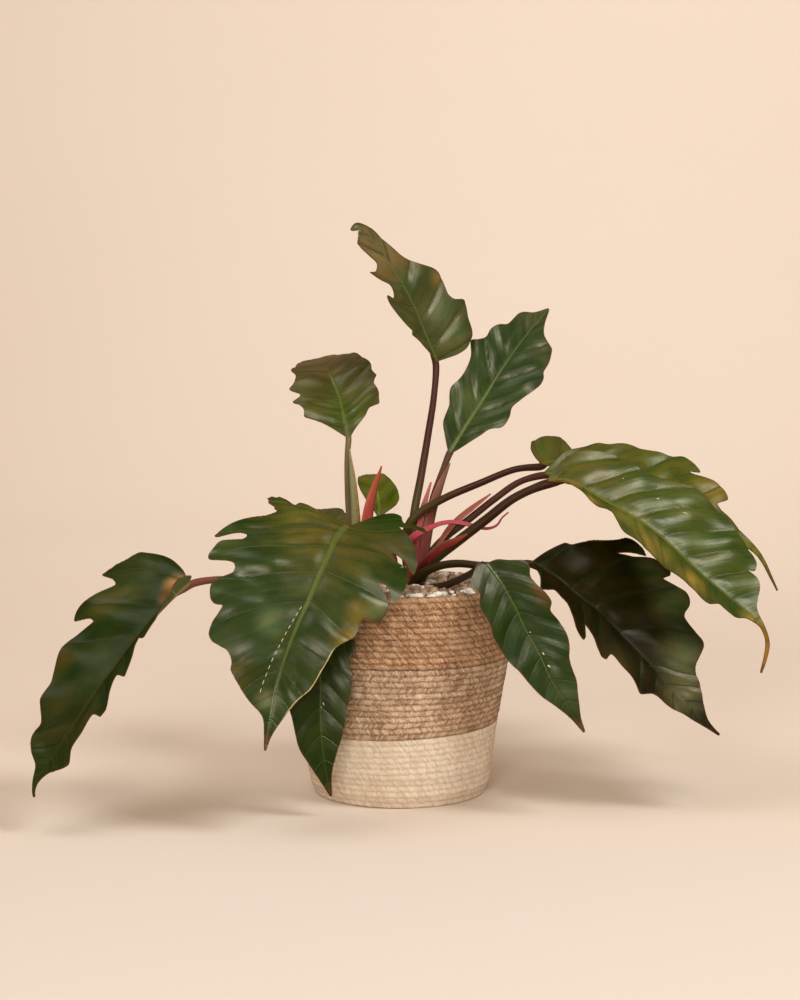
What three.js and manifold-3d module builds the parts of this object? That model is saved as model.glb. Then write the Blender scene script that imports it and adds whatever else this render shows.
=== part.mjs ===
// A philodendron with lobed leaves, growing from two shoots in a jute basket of three tones.
// Millimetres, +Z up. The origin is the middle of the basket's foot, and the leaves face -Y.
import * as THREE from "three";
import { mergeVertices } from "three/addons/utils/BufferGeometryUtils.js";
import Module from "manifold-3d";

const wasm = await Module();
wasm.setup();

const GAP = 0.3; // air between neighbouring solids

// Basket: one jute cord coiled upwards, dyed in three bands
const BASKET_HEIGHT = 195;
const CREAM_TOP = 62;
const BROWN_TOP = 128;
// [height, radius] up the outside
const BASKET_OUTSIDE = [[0, 80], [12, 85], [57, 91], [100, 98], [130, 103], [BASKET_HEIGHT, 102]];
const BASKET_WALL = 5;
const BASKET_FLOOR = 6;
const CORD_ROWS = 36;
const CORD_RELIEF = 1.1;
const BASKET_SIDES = 24;

// Plastic pot inside the basket, its soil and the gravel on top
const POT_HEIGHT = 176;
const POT_FOOT_RADIUS = 68;
const POT_MOUTH_RADIUS = 90;
const POT_LIP = 3;
const POT_LIP_HEIGHT = 8;
const POT_WALL = 1.6;
const POT_SIDES = 32;
const GRAVEL_DEPTH = 8;
const GRAVEL_RADIUS = 96;
const STONES = 52;
const STONE_RADIUS = [7, 10.5];
const GOLDEN_ANGLE = Math.PI * (3 - Math.sqrt(5));

// Shoots: thick stubs in the soil that the leaf stalks grow from
const SHOOT_FOOT = 150;
const MAIN_SHOOT = { at: [13, -2], radius: 13, top: 203 };
const SIDE_SHOOT = { at: [-38, 8], radius: 10, top: 200 };
const DOME = 0.6; // height of a stub's round top, of its radius
const STALK_SIDES = 6;

// Blades
const BLADE_EDGE = 0.9;
const VEIN_SWEEP = 1.3; // side veins leave the rib square and lean to the tip
const ACROSS = [0, 0.45, 1]; // stations from the rib to the margin
const WAVE_REACH = 40; // width at which a blade's ripple is full
const RIB_SWELL = 1.8; // how much thicker the blade's base is under the rib

// A blade is cut flat, then bent.
// rib: where its midrib runs. face: where its upper side looks, from base to tip.
// bend: for the left and the right half, [lift, downward curl per 100 mm] in degrees, from base to tip.
// rows: [place on the rib, left margin along and out, right margin along and out], at each turn of it.
// wave: [height, length, start] of the ripple that grows towards the margin.
const LEAVES = {
  leaf_top: {
    rib: [
      [35, 25, 401], [26, 20, 422], [10, 10, 459], [-9, 4, 491], [-26, 0, 515], [-36, -3, 526],
      [-40, -5, 528], [-45, -8, 523],
    ],
    face: [[0.45, -0.85, 0.2], [0.45, -0.8, 0.3]],
    bend: [[[22, 0], [25, 0], [20, 0]], [[20, 0], [22, 0], [20, 0]]],
    wave: [1.5, 38, 0],
    rows: [
      [0, 0, 2, 0, 2], [2, 6, 3, -1, 10], [4, 12, 5, -2, 22], [8, 20, 9, 0, 32], [13, 28, 13, 8, 40],
      [19, 38, 20, 25, 44], [23, 40, 17, 34, 46], [30, 50, 24, 43, 46], [37, 62, 30, 48, 37],
      [44, 78, 35, 54, 34], [50, 83, 31, 65, 36], [55, 77, 24, 72, 36], [61, 88, 18, 78, 33],
      [68, 98, 26, 88, 24], [76, 110, 33, 95, 19], [82, 107, 25, 103, 14], [90, 112, 18, 112, 11],
      [102, 124, 22, 120, 9], [114, 134, 23, 130, 7], [128, 145, 18, 139, 6], [142, 152, 8, 149, 3],
      [159, 159, 1, 159, 1],
    ],
  },
  leaf_upper_right: {
    rib: [
      [47, 30, 316], [66, 38, 346], [80, 44, 367], [95, 50, 391], [110, 55, 412], [124, 60, 430],
      [137, 63, 445], [143, 64, 452],
    ],
    face: [[0, -0.9, 0.4], [0.05, -0.85, 0.5]],
    bend: [[[10, 0], [10, 5], [5, 10]], [[10, 0], [10, 5], [5, 10]]],
    wave: [2, 44, 10],
    rows: [
      [0, 0, 2, 0, 2], [2, 3, 5, 8, 7], [8, 12, 13, 18, 12], [16, 21, 20, 28, 17], [24, 38, 24, 38, 22],
      [32, 46, 29, 46, 31], [40, 53, 32, 57, 32], [50, 66, 29, 66, 29], [60, 78, 29, 76, 32],
      [70, 90, 32, 86, 36], [78, 101, 40, 94, 39], [86, 106, 34, 101, 41], [92, 112, 30, 108, 40],
      [99, 121, 31, 114, 36], [106, 129, 28, 123, 35], [113, 134, 21, 132, 32], [120, 147, 19, 139, 28],
      [130, 152, 16, 146, 14], [144, 157, 9, 155, 7], [169, 169, 1, 169, 1],
    ],
  },
  leaf_round_left: {
    rib: [
      [-48, 0, 332], [-54, 8, 358], [-58, 15, 372], [-63, 24, 384], [-67, 36, 393], [-73, 54, 400],
      [-81, 80, 403], [-89, 105, 401],
    ],
    face: [[-0.1, -0.9, 0.4], [-0.15, -0.5, 0.85], [-0.2, 0.1, 0.97]],
    bend: [[[8, 10], [5, 20], [0, 30]], [[8, 10], [5, 20], [0, 30]]],
    wave: [1.5, 30, 0],
    rows: [
      [0, 0, 2, 0, 2], [2, 6, 8, 6, 8], [5, 18, 21, 16, 20], [9, 28, 36, 22, 25], [13, 35, 35, 24, 35],
      [18, 42, 38, 29, 36], [23, 50, 43, 35, 37], [26, 53, 35, 43, 35], [29, 56, 34, 47, 37],
      [33, 62, 42, 50, 40], [39, 67, 36, 57, 38], [48, 76, 33, 66, 39], [58, 86, 31, 76, 37],
      [72, 98, 32, 90, 34], [86, 110, 26, 104, 28], [102, 124, 18, 120, 20], [122, 138, 8, 136, 9],
      [149, 149, 1, 149, 1],
    ],
  },
  leaf_small_back: {
    rib: [[-20, 45, 254], [-20, 48, 264], [-23, 55, 278], [-27, 70, 288], [-33, 95, 290]],
    face: [[0, -0.9, 0.4], [0, -0.3, 0.95]],
    bend: [[[5, 10], [5, 10]], [[5, 10], [5, 10]]],
    wave: [0.8, 30, 0],
    rows: [
      [0, 0, 2, 0, 2], [3, 6, 6, 5, 9], [8, 13, 10, 10, 17], [15, 22, 13, 14, 20], [22, 30, 15, 24, 20],
      [32, 42, 15, 33, 17], [46, 54, 11, 50, 12], [60, 64, 5, 62, 6], [70, 70, 1, 70, 1],
    ],
  },
  leaf_front: {
    rib: [
      [-47, -88, 258], [-55, -98, 250], [-63, -112, 234], [-71, -125, 217], [-79, -138, 198],
      [-87, -150, 181], [-94, -160, 164], [-100, -170, 147], [-105, -178, 129], [-108, -184, 111],
      [-111, -188, 95], [-114, -190, 76],
    ],
    face: [[0.1, -0.7, 0.7], [0.1, -0.9, 0.4]],
    bend: [[[8, 30], [8, 30], [20, 0]], [[5, 10], [5, 12], [15, 5]]],
    wave: [2, 46, 8],
    rows: [
      [0, 0, 2, 0, 2], [1, -19, 12, 2, 24], [2, -35, 27, 4, 49], [3, -29, 41, 11, 61],
      [5, -40, 63, 13, 73], [7, -24, 42, 18, 59], [9, -17, 54, 23, 66], [12, -4, 71, 34, 88],
      [14, 9, 75, 54, 99], [16, 2, 62, 57, 96], [19, 3, 50, 51, 87], [22, 12, 60, 49, 73],
      [25, 23, 67, 58, 86], [29, 33, 72, 65, 96], [33, 47, 72, 73, 96], [38, 58, 69, 73, 84],
      [42, 47, 62, 76, 71], [46, 43, 49, 84, 74], [51, 56, 62, 91, 77], [57, 67, 67, 103, 84],
      [64, 81, 65, 111, 81], [71, 84, 49, 119, 76], [78, 94, 50, 119, 67], [87, 103, 49, 133, 69],
      [96, 112, 43, 143, 68], [105, 120, 38, 148, 63], [116, 132, 36, 152, 48], [127, 145, 34, 159, 41],
      [139, 156, 32, 165, 41], [152, 166, 29, 174, 30], [167, 183, 17, 185, 20], [184, 200, 8, 196, 6],
      [204, 212, 3, 210, 3], [223, 223, 1, 223, 1],
    ],
  },
  leaf_left: {
    rib: [
      [-189, -70, 205], [-201, -78, 195], [-214, -90, 182], [-226, -100, 169], [-238, -110, 154],
      [-248, -120, 140], [-258, -130, 127], [-278, -147, 98], [-299, -162, 66], [-307, -166, 55],
      [-313, -170, 47], [-315, -172, 39], [-314, -174, 34],
    ],
    face: [[-0.4, -0.7, 0.65], [-0.3, -0.8, 0.4]],
    bend: [[[75, 0], [42, 0], [32, 0], [24, 0], [18, 0]], [[12, 20], [10, 15], [10, 5]]],
    wave: [2, 50, 0],
    rows: [
      [0, 0, 2, 0, 2], [1, -3, 7, -5, 14], [2, 0, 12, -7, 40], [4, 6, 16, 4, 64], [7, 12, 20, 14, 69],
      [10, 20, 22, 19, 75], [14, 27, 22, 29, 83], [18, 33, 20, 30, 67], [23, 42, 26, 34, 60],
      [30, 56, 32, 52, 65], [39, 76, 30, 73, 71], [46, 76, 18, 82, 66], [52, 74, 14, 76, 52],
      [58, 84, 18, 77, 47], [66, 98, 28, 90, 53], [78, 118, 38, 104, 56], [90, 117, 20, 115, 55],
      [104, 131, 24, 134, 48], [116, 148, 35, 145, 43], [134, 155, 34, 162, 40], [140, 155, 20, 168, 36],
      [152, 171, 19, 180, 28], [168, 187, 16, 191, 29], [186, 200, 25, 206, 21], [203, 212, 11, 215, 8],
      [222, 226, 3, 230, 2], [239, 239, 1, 239, 1],
    ],
  },
  leaf_front_low: {
    rib: [
      [-55, -99, 175], [-62, -101, 157], [-67, -104, 144], [-70, -107, 131], [-70, -111, 114],
      [-70, -113, 92], [-69, -115, 71], [-65, -114, 39], [-61, -110, 18],
    ],
    face: [[0.1, -0.95, 0.3], [0.1, -0.97, 0.2]],
    bend: [[[10, 10], [10, 10], [15, 5]], [[8, 10], [8, 10], [15, 5]]],
    wave: [1, 40, 0],
    rows: [
      [0, 0, 2, 0, 2], [2, 2, 8, 2, 8], [5, 8, 17, 8, 17], [11, 19, 24, 20, 24], [17, 29, 23, 30, 24],
      [24, 39, 26, 44, 23], [33, 51, 28, 60, 25], [44, 65, 27, 79, 28], [56, 79, 24, 87, 26],
      [72, 96, 21, 97, 24], [88, 110, 17, 113, 21], [104, 124, 11, 128, 14], [124, 140, 5, 146, 6],
      [161, 161, 1, 161, 1],
    ],
  },
  leaf_right_front: {
    rib: [
      [136, -20, 293], [152, -25, 294], [165, -30, 289], [183, -36, 278], [205, -44, 266],
      [227, -52, 252], [248, -60, 234], [270, -68, 213], [289, -75, 197], [304, -80, 185],
      [315, -84, 176], [323, -88, 167], [327, -92, 154], [325, -95, 141], [320, -97, 125],
    ],
    face: [[0.2, -0.55, 0.8], [0.3, -0.6, 0.7]],
    bend: [[[18, 15], [18, 15], [15, 10]], [[18, 0], [18, 0], [14, 0]]],
    wave: [2, 52, 0],
    rows: [
      [0, 0, 2, 0, 2], [3, 9, 18, 6, 5], [6, 16, 31, 14, 8], [10, 23, 42, 22, 8], [16, 35, 51, 32, 9],
      [24, 44, 54, 40, 10], [34, 54, 53, 50, 18], [44, 72, 51, 60, 23], [54, 89, 58, 66, 17],
      [66, 110, 67, 71, 15], [78, 120, 67, 82, 28], [88, 131, 66, 93, 39], [98, 142, 68, 106, 44],
      [108, 150, 68, 120, 46], [118, 160, 62, 133, 44], [130, 170, 59, 146, 40], [142, 181, 57, 160, 38],
      [152, 192, 55, 175, 38], [162, 200, 50, 186, 38], [168, 203, 42, 192, 35], [174, 198, 39, 196, 28],
      [181, 210, 35, 199, 23], [190, 217, 28, 210, 25], [202, 221, 18, 219, 23], [214, 226, 9, 227, 10],
      [232, 240, 3, 240, 3], [258, 262, 2, 262, 2], [283, 283, 1, 283, 1],
    ],
  },
  leaf_right_behind: {
    rib: [
      [136, 18, 297], [165, 20, 295], [199, 21, 287], [237, 21, 272], [275, 20, 256], [307, 17, 241],
      [331, 14, 227], [341, 12, 215], [349, 10, 199], [355, 9, 187],
    ],
    face: [[0.2, -0.6, 0.75], [0.3, -0.6, 0.7]],
    bend: [[[10, 10], [10, 10], [10, 10]], [[10, 10], [10, 10], [10, 10]]],
    wave: [1.5, 50, 0],
    rows: [
      [0, 0, 2, 0, 2], [3, 13, 17, 8, 8], [7, 22, 28, 18, 14], [12, 34, 37, 30, 18], [20, 46, 46, 40, 20],
      [30, 56, 46, 50, 20], [40, 70, 54, 62, 24], [50, 84, 58, 74, 28], [62, 98, 61, 84, 24],
      [72, 112, 61, 94, 24], [82, 124, 69, 106, 30], [90, 134, 67, 116, 30], [98, 142, 60, 124, 24],
      [104, 132, 54, 132, 24], [112, 147, 54, 142, 28], [122, 158, 52, 152, 26], [132, 167, 46, 160, 20],
      [142, 172, 38, 168, 20], [150, 165, 27, 176, 20], [164, 182, 17, 188, 14], [184, 201, 7, 202, 7],
      [210, 222, 3, 222, 3], [257, 257, 1, 257, 1],
    ],
  },
  leaf_right_far: {
    rib: [
      [135, 52, 303], [152, 74, 304], [180, 100, 294], [220, 132, 280], [258, 156, 256], [280, 168, 236],
    ],
    face: [[0.1, -0.5, 0.85], [0.3, -0.3, 0.9], [0.5, 0, 0.85]],
    bend: [[[35, 0], [8, 10], [5, 10]], [[20, 0], [8, 10], [5, 10]]],
    wave: [1.5, 45, 0],
    rows: [
      [0, 0, 2, 0, 2], [1, -12, 9, -12, 8], [3, -14, 22, -14, 16], [7, -2, 28, -4, 16],
      [13, 14, 26, 12, 12], [22, 34, 32, 30, 26], [36, 54, 36, 50, 30], [52, 68, 28, 66, 26],
      [70, 88, 34, 86, 32], [90, 106, 25, 104, 24], [112, 130, 26, 128, 25], [136, 150, 15, 150, 15],
      [162, 172, 6, 172, 6], [200, 200, 1, 200, 1],
    ],
  },
  leaf_lower_right: {
    rib: [
      [120, -45, 220], [132, -48, 213], [145, -52, 205], [159, -56, 193], [181, -62, 176],
      [203, -70, 154], [225, -78, 132], [243, -86, 110], [259, -92, 96], [272, -96, 83], [285, -98, 71],
    ],
    face: [[0.1, -0.75, 0.65], [0.15, -0.85, 0.5]],
    bend: [[[10, 12], [10, 12], [12, 5]], [[30, 0], [28, 0], [18, 0]]],
    wave: [2, 48, 0],
    rows: [
      [0, 0, 2, 0, 2], [2, 5, 15, 8, 7], [5, 15, 34, 14, 13], [8, 21, 37, 24, 34], [14, 33, 58, 30, 26],
      [20, 46, 73, 34, 20], [28, 60, 78, 43, 21], [35, 70, 78, 50, 23], [40, 74, 75, 60, 35],
      [42, 66, 67, 66, 42], [44, 56, 57, 71, 46], [46, 68, 65, 78, 48], [50, 79, 79, 87, 48],
      [56, 91, 80, 86, 43], [62, 94, 76, 80, 36], [66, 92, 69, 76, 31], [76, 110, 73, 91, 35],
      [85, 118, 75, 101, 43], [94, 124, 73, 109, 48], [101, 128, 68, 113, 46], [107, 131, 57, 113, 34],
      [118, 145, 53, 126, 33], [129, 152, 52, 138, 32], [138, 157, 49, 148, 34], [149, 167, 34, 159, 37],
      [158, 176, 28, 166, 21], [170, 185, 23, 181, 18], [188, 199, 11, 202, 10], [208, 214, 3, 217, 4],
      [229, 229, 1, 229, 1],
    ],
  },
  leaf_low_right_front: {
    rib: [
      [77, -88, 224], [89, -94, 208], [102, -100, 186], [112, -106, 165], [123, -112, 146],
      [133, -118, 125], [145, -122, 106], [153, -124, 92], [162, -125, 79],
    ],
    face: [[0.1, -0.8, 0.6], [0.15, -0.9, 0.4]],
    bend: [[[8, 15], [8, 15], [15, 5]], [[8, 20], [8, 20], [15, 5]]],
    wave: [1, 44, 0],
    rows: [
      [0, 0, 2, 0, 2], [1, 2, 10, -5, 6], [4, 9, 19, 1, 16], [7, 16, 30, 6, 24], [11, 22, 31, 10, 26],
      [16, 29, 27, 20, 23], [22, 38, 28, 30, 29], [30, 47, 31, 40, 30], [38, 55, 32, 52, 29],
      [48, 61, 28, 63, 31], [58, 75, 31, 74, 30], [70, 88, 31, 88, 29], [82, 97, 28, 101, 25],
      [95, 106, 23, 113, 21], [110, 130, 19, 125, 17], [126, 141, 13, 143, 9], [146, 160, 5, 157, 3],
      [172, 172, 1, 172, 1],
    ],
  },
  leaf_left_far: {
    rib: [[-51, 31, 246], [-67, 55, 252], [-89, 85, 257], [-103, 115, 255], [-115, 142, 246]],
    face: [[0, -0.3, 0.95], [-0.2, -0.2, 0.95]],
    bend: [[[-10, 20], [5, 20]], [[40, 0], [15, 10]]],
    wave: [1, 40, 0],
    rows: [
      [0, 0, 2, 0, 2], [4, 2, 12, 2, 12], [12, 16, 24, 14, 22], [24, 32, 21, 30, 20],
      [38, 48, 26, 46, 26], [54, 62, 20, 62, 20], [70, 82, 20, 80, 20], [90, 98, 10, 98, 10],
      [112, 116, 4, 116, 4], [135, 135, 1, 135, 1],
    ],
  },
};

// Stalks: route from inside the shoot to just short of the blade, and radius at each end
const MAIN_STALKS = {
  leaf_top: {
    route: [[11, 0, 195], [11, 3, 231], [13, 6, 258], [20, 12, 296], [27, 18, 337], [32, 23, 370]],
    radius: [4.4, 3],
  },
  leaf_upper_right: {
    route: [[17, 3, 195], [22, 8, 230], [26, 15, 253], [32, 21, 276], [39, 26, 295]],
    radius: [4, 3],
  },
  leaf_right_front: {
    route: [[14, -6, 196], [28, -11, 216], [51, -14, 234], [79, -17, 256], [106, -19, 277]],
    radius: [5.2, 4],
  },
  leaf_right_behind: {
    route: [[14, 2, 198], [37, 6, 232], [66, 10, 255], [89, 13, 273], [113, 16, 289]],
    radius: [4, 3],
  },
  leaf_right_far: {
    route: [
      [10, 2, 196], [6, 2, 226], [6, -2, 242], [12, -3, 256], [37, 4, 272], [75, 21, 287], [110, 39, 299],
    ],
    radius: [4.4, 3.2],
  },
  leaf_lower_right: {
    route: [
      [10, -6, 191], [19, -18, 205], [37, -30, 215], [54, -38, 218], [73, -44, 217], [96, -46, 217],
    ],
    radius: [4.2, 3],
  },
  leaf_low_right_front: {
    route: [[14, -9, 190], [26, -24, 193], [38, -38, 197], [51, -54, 204], [63, -68, 212]],
    radius: [4.2, 3],
  },
};
const SIDE_STALKS = {
  leaf_round_left: {
    route: [[-37, 8, 192], [-42, 4, 224], [-47, 1, 254], [-49, 0, 292], [-49, 0, 315]],
    radius: [3.8, 2.8],
  },
  leaf_small_back: { route: [[-35, 12, 192], [-27, 30, 223]], radius: [2.8, 2] },
  leaf_left_far: { route: [[-41, 12, 192], [-45, 20, 224]], radius: [2.8, 2] },
  leaf_front: { route: [[-36, 4, 192], [-40, -30, 235], [-43, -60, 251]], radius: [4.6, 3.4] },
  leaf_left: {
    route: [[-42, 4, 194], [-65, -14, 205], [-92, -30, 207], [-136, -50, 204], [-169, -62, 206]],
    radius: [4.6, 3.2],
  },
  leaf_front_low: {
    route: [[-38, 2, 194], [-44, -40, 207], [-49, -72, 208], [-52, -91, 202], [-55, -99, 188]],
    radius: [3.2, 2.2],
  },
};

// Papery sheaths that wrapped the young leaves: route, where the outside looks, widths along it
const SHEATHS = {
  sheath_red_upright: {
    route: [[-33, 0, 196], [-31, -8, 240], [-29, -9, 264], [-24, -7, 284], [-17, -3, 305]],
    face: [0.3, -0.9, 0.2],
    widths: [8, 13, 13, 9, 1.5],
  },
  sheath_green: {
    route: [[-42, 2, 196], [-41, -4, 245], [-42, -5, 268], [-44, -5, 292], [-47, -5, 321]],
    face: [0.2, -0.95, 0],
    widths: [7, 9, 9, 7, 1.5],
  },
  sheath_orange_upright: {
    route: [[20, -1, 196], [24, 2, 232], [28, 9, 255], [35, 15, 278], [47, 23, 306]],
    face: [0.2, -0.95, 0.2],
    widths: [8, 12, 13, 10, 1.5],
  },
  sheath_pink_upright: {
    route: [[14, -6, 196], [16, -3, 232], [18, 1, 247], [21, 5, 262], [29, 10, 289]],
    face: [-0.1, -0.95, 0.1],
    widths: [6, 7, 7, 7, 1.5],
  },
  sheath_orange_slant: {
    route: [[32, -4, 226], [47, 0, 248], [68, 5, 266], [85, 11, 278]],
    face: [-0.3, -0.7, 0.6],
    widths: [3, 8, 8, 1.5],
  },
  sheath_pink_curled: {
    route: [
      [9, -9, 196], [8, -14, 234], [16, -14, 243], [27, -10, 248], [38, -6, 252], [51, -4, 253],
      [67, -4, 250], [81, -5, 247], [90, -5, 250], [95, -4, 257], [101, -3, 262],
    ],
    face: [0, -0.8, 0.6], widths: [6, 8, 8, 8, 7, 5, 4.5, 4, 3, 2, 1.2],
  },
  sheath_crimson: {
    route: [[13, -12, 200], [24, -19, 217], [37, -21, 230], [51, -22, 237], [62, -21, 243]],
    face: [0.3, -0.9, -0.2],
    widths: [7, 9, 9, 9, 1.5],
  },
  sheath_dark_red: {
    route: [[2, -10, 198], [-4, -14, 210], [-6, -16, 222], [-3, -15, 232]],
    face: [0, -1, 0.1],
    widths: [7, 9, 8, 1.5],
  },
};
const SHEATH_THICKNESS = 1.4;
const SHEATH_CURL = 320; // degrees of roll per 100 mm of width

const v3 = (p) => new THREE.Vector3(...p);
const radians = THREE.MathUtils.degToRad;

// Seeded draw between low and high, so that every run gives the same stones
function randomFrom(seed) {
  let state = seed;
  return (low, high) => {
    state = (state * 16807) % 2147483647;
    return low + (high - low) * (state / 2147483647);
  };
}

// Value at fraction t of a list of numbers, or of lists of numbers, spread evenly from 0 to 1
function blend(list, t) {
  const x = Math.min(Math.max(t, 0), 1) * (list.length - 1);
  const i = Math.min(Math.floor(x), list.length - 2);
  const mix = (a, b) => a + (b - a) * (x - i);
  return Array.isArray(list[i]) ? list[i].map((a, k) => mix(a, list[i + 1][k])) : mix(list[i], list[i + 1]);
}

// Smooth curve through points, sampled evenly in count steps
function curveThrough(points, count) {
  return new THREE.CatmullRomCurve3(points.map(v3), false, "centripetal").getSpacedPoints(count);
}

// A polyline that can be read at any distance along it, with the direction and the outward side there
class Spine {
  constructor(points, faces) {
    this.points = curveThrough(points, 120);
    this.at = [0];
    for (let i = 1; i < this.points.length; i++)
      this.at.push(this.at[i - 1] + this.points[i].distanceTo(this.points[i - 1]));
    this.length = this.at[this.at.length - 1];
    this.faces = faces;
  }

  frame(distance) {
    const d = Math.min(Math.max(distance, 0), this.length);
    const last = this.points.length - 1;
    const i = Math.min(Math.floor((d / this.length) * last), last - 1);
    const before = this.points[Math.max(i - 1, 0)];
    const along = this.points[Math.min(i + 2, last)].clone().sub(before).normalize();
    const part = (d - this.at[i]) / (this.at[i + 1] - this.at[i]);
    const here = this.points[i].clone().lerp(this.points[i + 1], part);
    const up = v3(blend(this.faces, d / this.length)).normalize();
    up.addScaledVector(along, -up.dot(along)).normalize();
    return { here: here.addScaledVector(along, distance - d), along, up, left: up.clone().cross(along) };
  }
}

// Place of a flat point (along the rib, out from it, left positive) on a bent blade
function bladePoint(spine, { bend, wave }, along, out) {
  const { here, up, left } = spine.frame(along);
  const [lift, curl] = blend(bend[out >= 0 ? 0 : 1], along / spine.length);
  const width = Math.abs(out);
  const turn = radians(curl || 0.001) / 100;
  const start = radians(lift);
  const side = (Math.sin(start) - Math.sin(start - turn * width)) / turn;
  const rise = (Math.cos(start - turn * width) - Math.cos(start)) / turn;
  const [height, length, first] = wave;
  const grown = height * Math.min(width / WAVE_REACH, 1) ** 2;
  const ripple = grown * Math.sin((2 * Math.PI * (along - first)) / length);
  return here.addScaledVector(left, Math.sign(out) * side).addScaledVector(up, rise + ripple);
}

// Closed solid from a grid of points on the upper side and the thickness under each
function slab(top, thickness) {
  const rows = top.length;
  const cols = top[0].length;
  const bottom = top.map((row, i) =>
    row.map((p, j) => {
      const ahead = top[Math.min(i + 1, rows - 1)][j].clone().sub(top[Math.max(i - 1, 0)][j]);
      const across = row[Math.min(j + 1, cols - 1)].clone().sub(row[Math.max(j - 1, 0)]);
      return p.clone().addScaledVector(across.cross(ahead).normalize(), -thickness[i][j]);
    }),
  );
  const positions = [...top.flat(), ...bottom.flat()].flatMap((p) => p.toArray());
  const index = [];
  const under = rows * cols;
  const quad = (a, b, c, d) => index.push(a, b, c, a, c, d);
  for (let i = 0; i < rows - 1; i++)
    for (let j = 0; j < cols - 1; j++) {
      const a = i * cols + j;
      quad(a, a + 1, a + cols + 1, a + cols);
      quad(a + under, a + cols + under, a + cols + 1 + under, a + 1 + under);
    }
  const wall = (a, b) => quad(b, a, a + under, b + under);
  for (let i = 0; i < rows - 1; i++) {
    wall((i + 1) * cols, i * cols);
    wall(i * cols + cols - 1, (i + 1) * cols + cols - 1);
  }
  for (let j = 0; j < cols - 1; j++) {
    wall(j, j + 1);
    wall((rows - 1) * cols + j + 1, (rows - 1) * cols + j);
  }
  return new THREE.BufferGeometry()
    .setAttribute("position", new THREE.Float32BufferAttribute(positions, 3))
    .setIndex(index);
}

// Blade: a grid between the rib and the two margins, thicker under the rib
function blade(leaf) {
  const spine = new Spine(leaf.rib, leaf.face);
  const half = ACROSS.slice(1);
  const stations = [...half.toReversed().map((b) => [b, 1]), [0, 1], ...half.map((b) => [b, -1])];
  const top = leaf.rows.map(([root, leftAlong, leftOut, rightAlong, rightOut]) =>
    stations.map(([b, side]) => {
      const along = side > 0 ? leftAlong : rightAlong;
      const out = side > 0 ? leftOut : -rightOut;
      return bladePoint(spine, leaf, root + (along - root) * b ** VEIN_SWEEP, out * b);
    }),
  );
  const thickness = leaf.rows.map(([root]) => {
    const rib = BLADE_EDGE + RIB_SWELL * (1 - root / spine.length);
    return stations.map(([b]) => (b === 0 ? rib : BLADE_EDGE));
  });
  return slab(top, thickness);
}

// Sheath: a strap rolled a little round its route
function sheath({ route, face, widths }) {
  const spine = new Spine(route, [face, face]);
  const roll = [[0, SHEATH_CURL], [0, SHEATH_CURL]];
  const shape = { bend: [roll, roll], wave: [0, 1, 0] };
  const steps = 2 * (widths.length - 1);
  const top = Array.from({ length: steps + 1 }, (_, i) => {
    const along = (spine.length * i) / steps;
    const half = blend(widths, i / steps) / 2;
    return [1, 0.5, 0, -0.5, -1].map((b) => bladePoint(spine, shape, along, b * half));
  });
  return slab(top, top.map((row) => row.map(() => SHEATH_THICKNESS)));
}

// Stalk: a tapered tube along a route, closed at both ends
function stalk(route, [startRadius, endRadius], extra) {
  const steps = 2 * (route.length - 1);
  const spine = new Spine(route, [[0.35, -0.9, 0.25], [0.35, -0.9, 0.25]]);
  const rings = Array.from({ length: steps + 1 }, (_, i) => {
    const { here, up, left } = spine.frame((spine.length * i) / steps);
    const radius = blend([startRadius, endRadius], i / steps) + extra;
    return Array.from({ length: STALK_SIDES }, (_, k) => {
      const angle = (2 * Math.PI * k) / STALK_SIDES;
      const point = here.clone().addScaledVector(up, radius * Math.cos(angle));
      return point.addScaledVector(left, radius * Math.sin(angle));
    });
  });
  const positions = rings.flat().flatMap((p) => p.toArray());
  const index = [];
  for (let i = 0; i < steps; i++)
    for (let k = 0; k < STALK_SIDES; k++) {
      const a = i * STALK_SIDES + k;
      const b = i * STALK_SIDES + ((k + 1) % STALK_SIDES);
      index.push(a, a + STALK_SIDES, b + STALK_SIDES, a, b + STALK_SIDES, b);
    }
  for (let k = 1; k < STALK_SIDES - 1; k++) {
    index.push(0, k, k + 1);
    index.push(steps * STALK_SIDES, steps * STALK_SIDES + k + 1, steps * STALK_SIDES + k);
  }
  return new THREE.BufferGeometry()
    .setAttribute("position", new THREE.Float32BufferAttribute(positions, 3))
    .setIndex(index);
}

// A geometry as a solid that can be joined and cut, and back
function toSolid(geometry) {
  const bare = geometry.clone();
  bare.deleteAttribute("normal");
  bare.deleteAttribute("uv");
  const merged = mergeVertices(bare, 1e-3);
  return new wasm.Manifold(
    new wasm.Mesh({
      numProp: 3,
      vertProperties: new Float32Array(merged.attributes.position.array),
      triVerts: new Uint32Array(merged.index.array),
    }),
  );
}

function toGeometry(solid) {
  const mesh = solid.getMesh();
  const positions = [];
  for (let i = 0; i < mesh.numVert; i++)
    positions.push(...mesh.vertProperties.subarray(i * mesh.numProp, i * mesh.numProp + 3));
  return new THREE.BufferGeometry()
    .setAttribute("position", new THREE.Float32BufferAttribute(positions, 3))
    .setIndex([...mesh.triVerts]);
}

const joined = (solids) => solids.reduce((sum, next) => sum.add(next));
const largest = (solid) => solid.decompose().sort((a, b) => b.volume() - a.volume())[0];

// Upright cylinder between two heights
function post([x, y], radius, bottom, top, sides = 20) {
  const geometry = new THREE.CylinderGeometry(radius, radius, top - bottom, sides).rotateX(Math.PI / 2);
  return toSolid(geometry.translate(x, y, (top + bottom) / 2));
}

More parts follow.
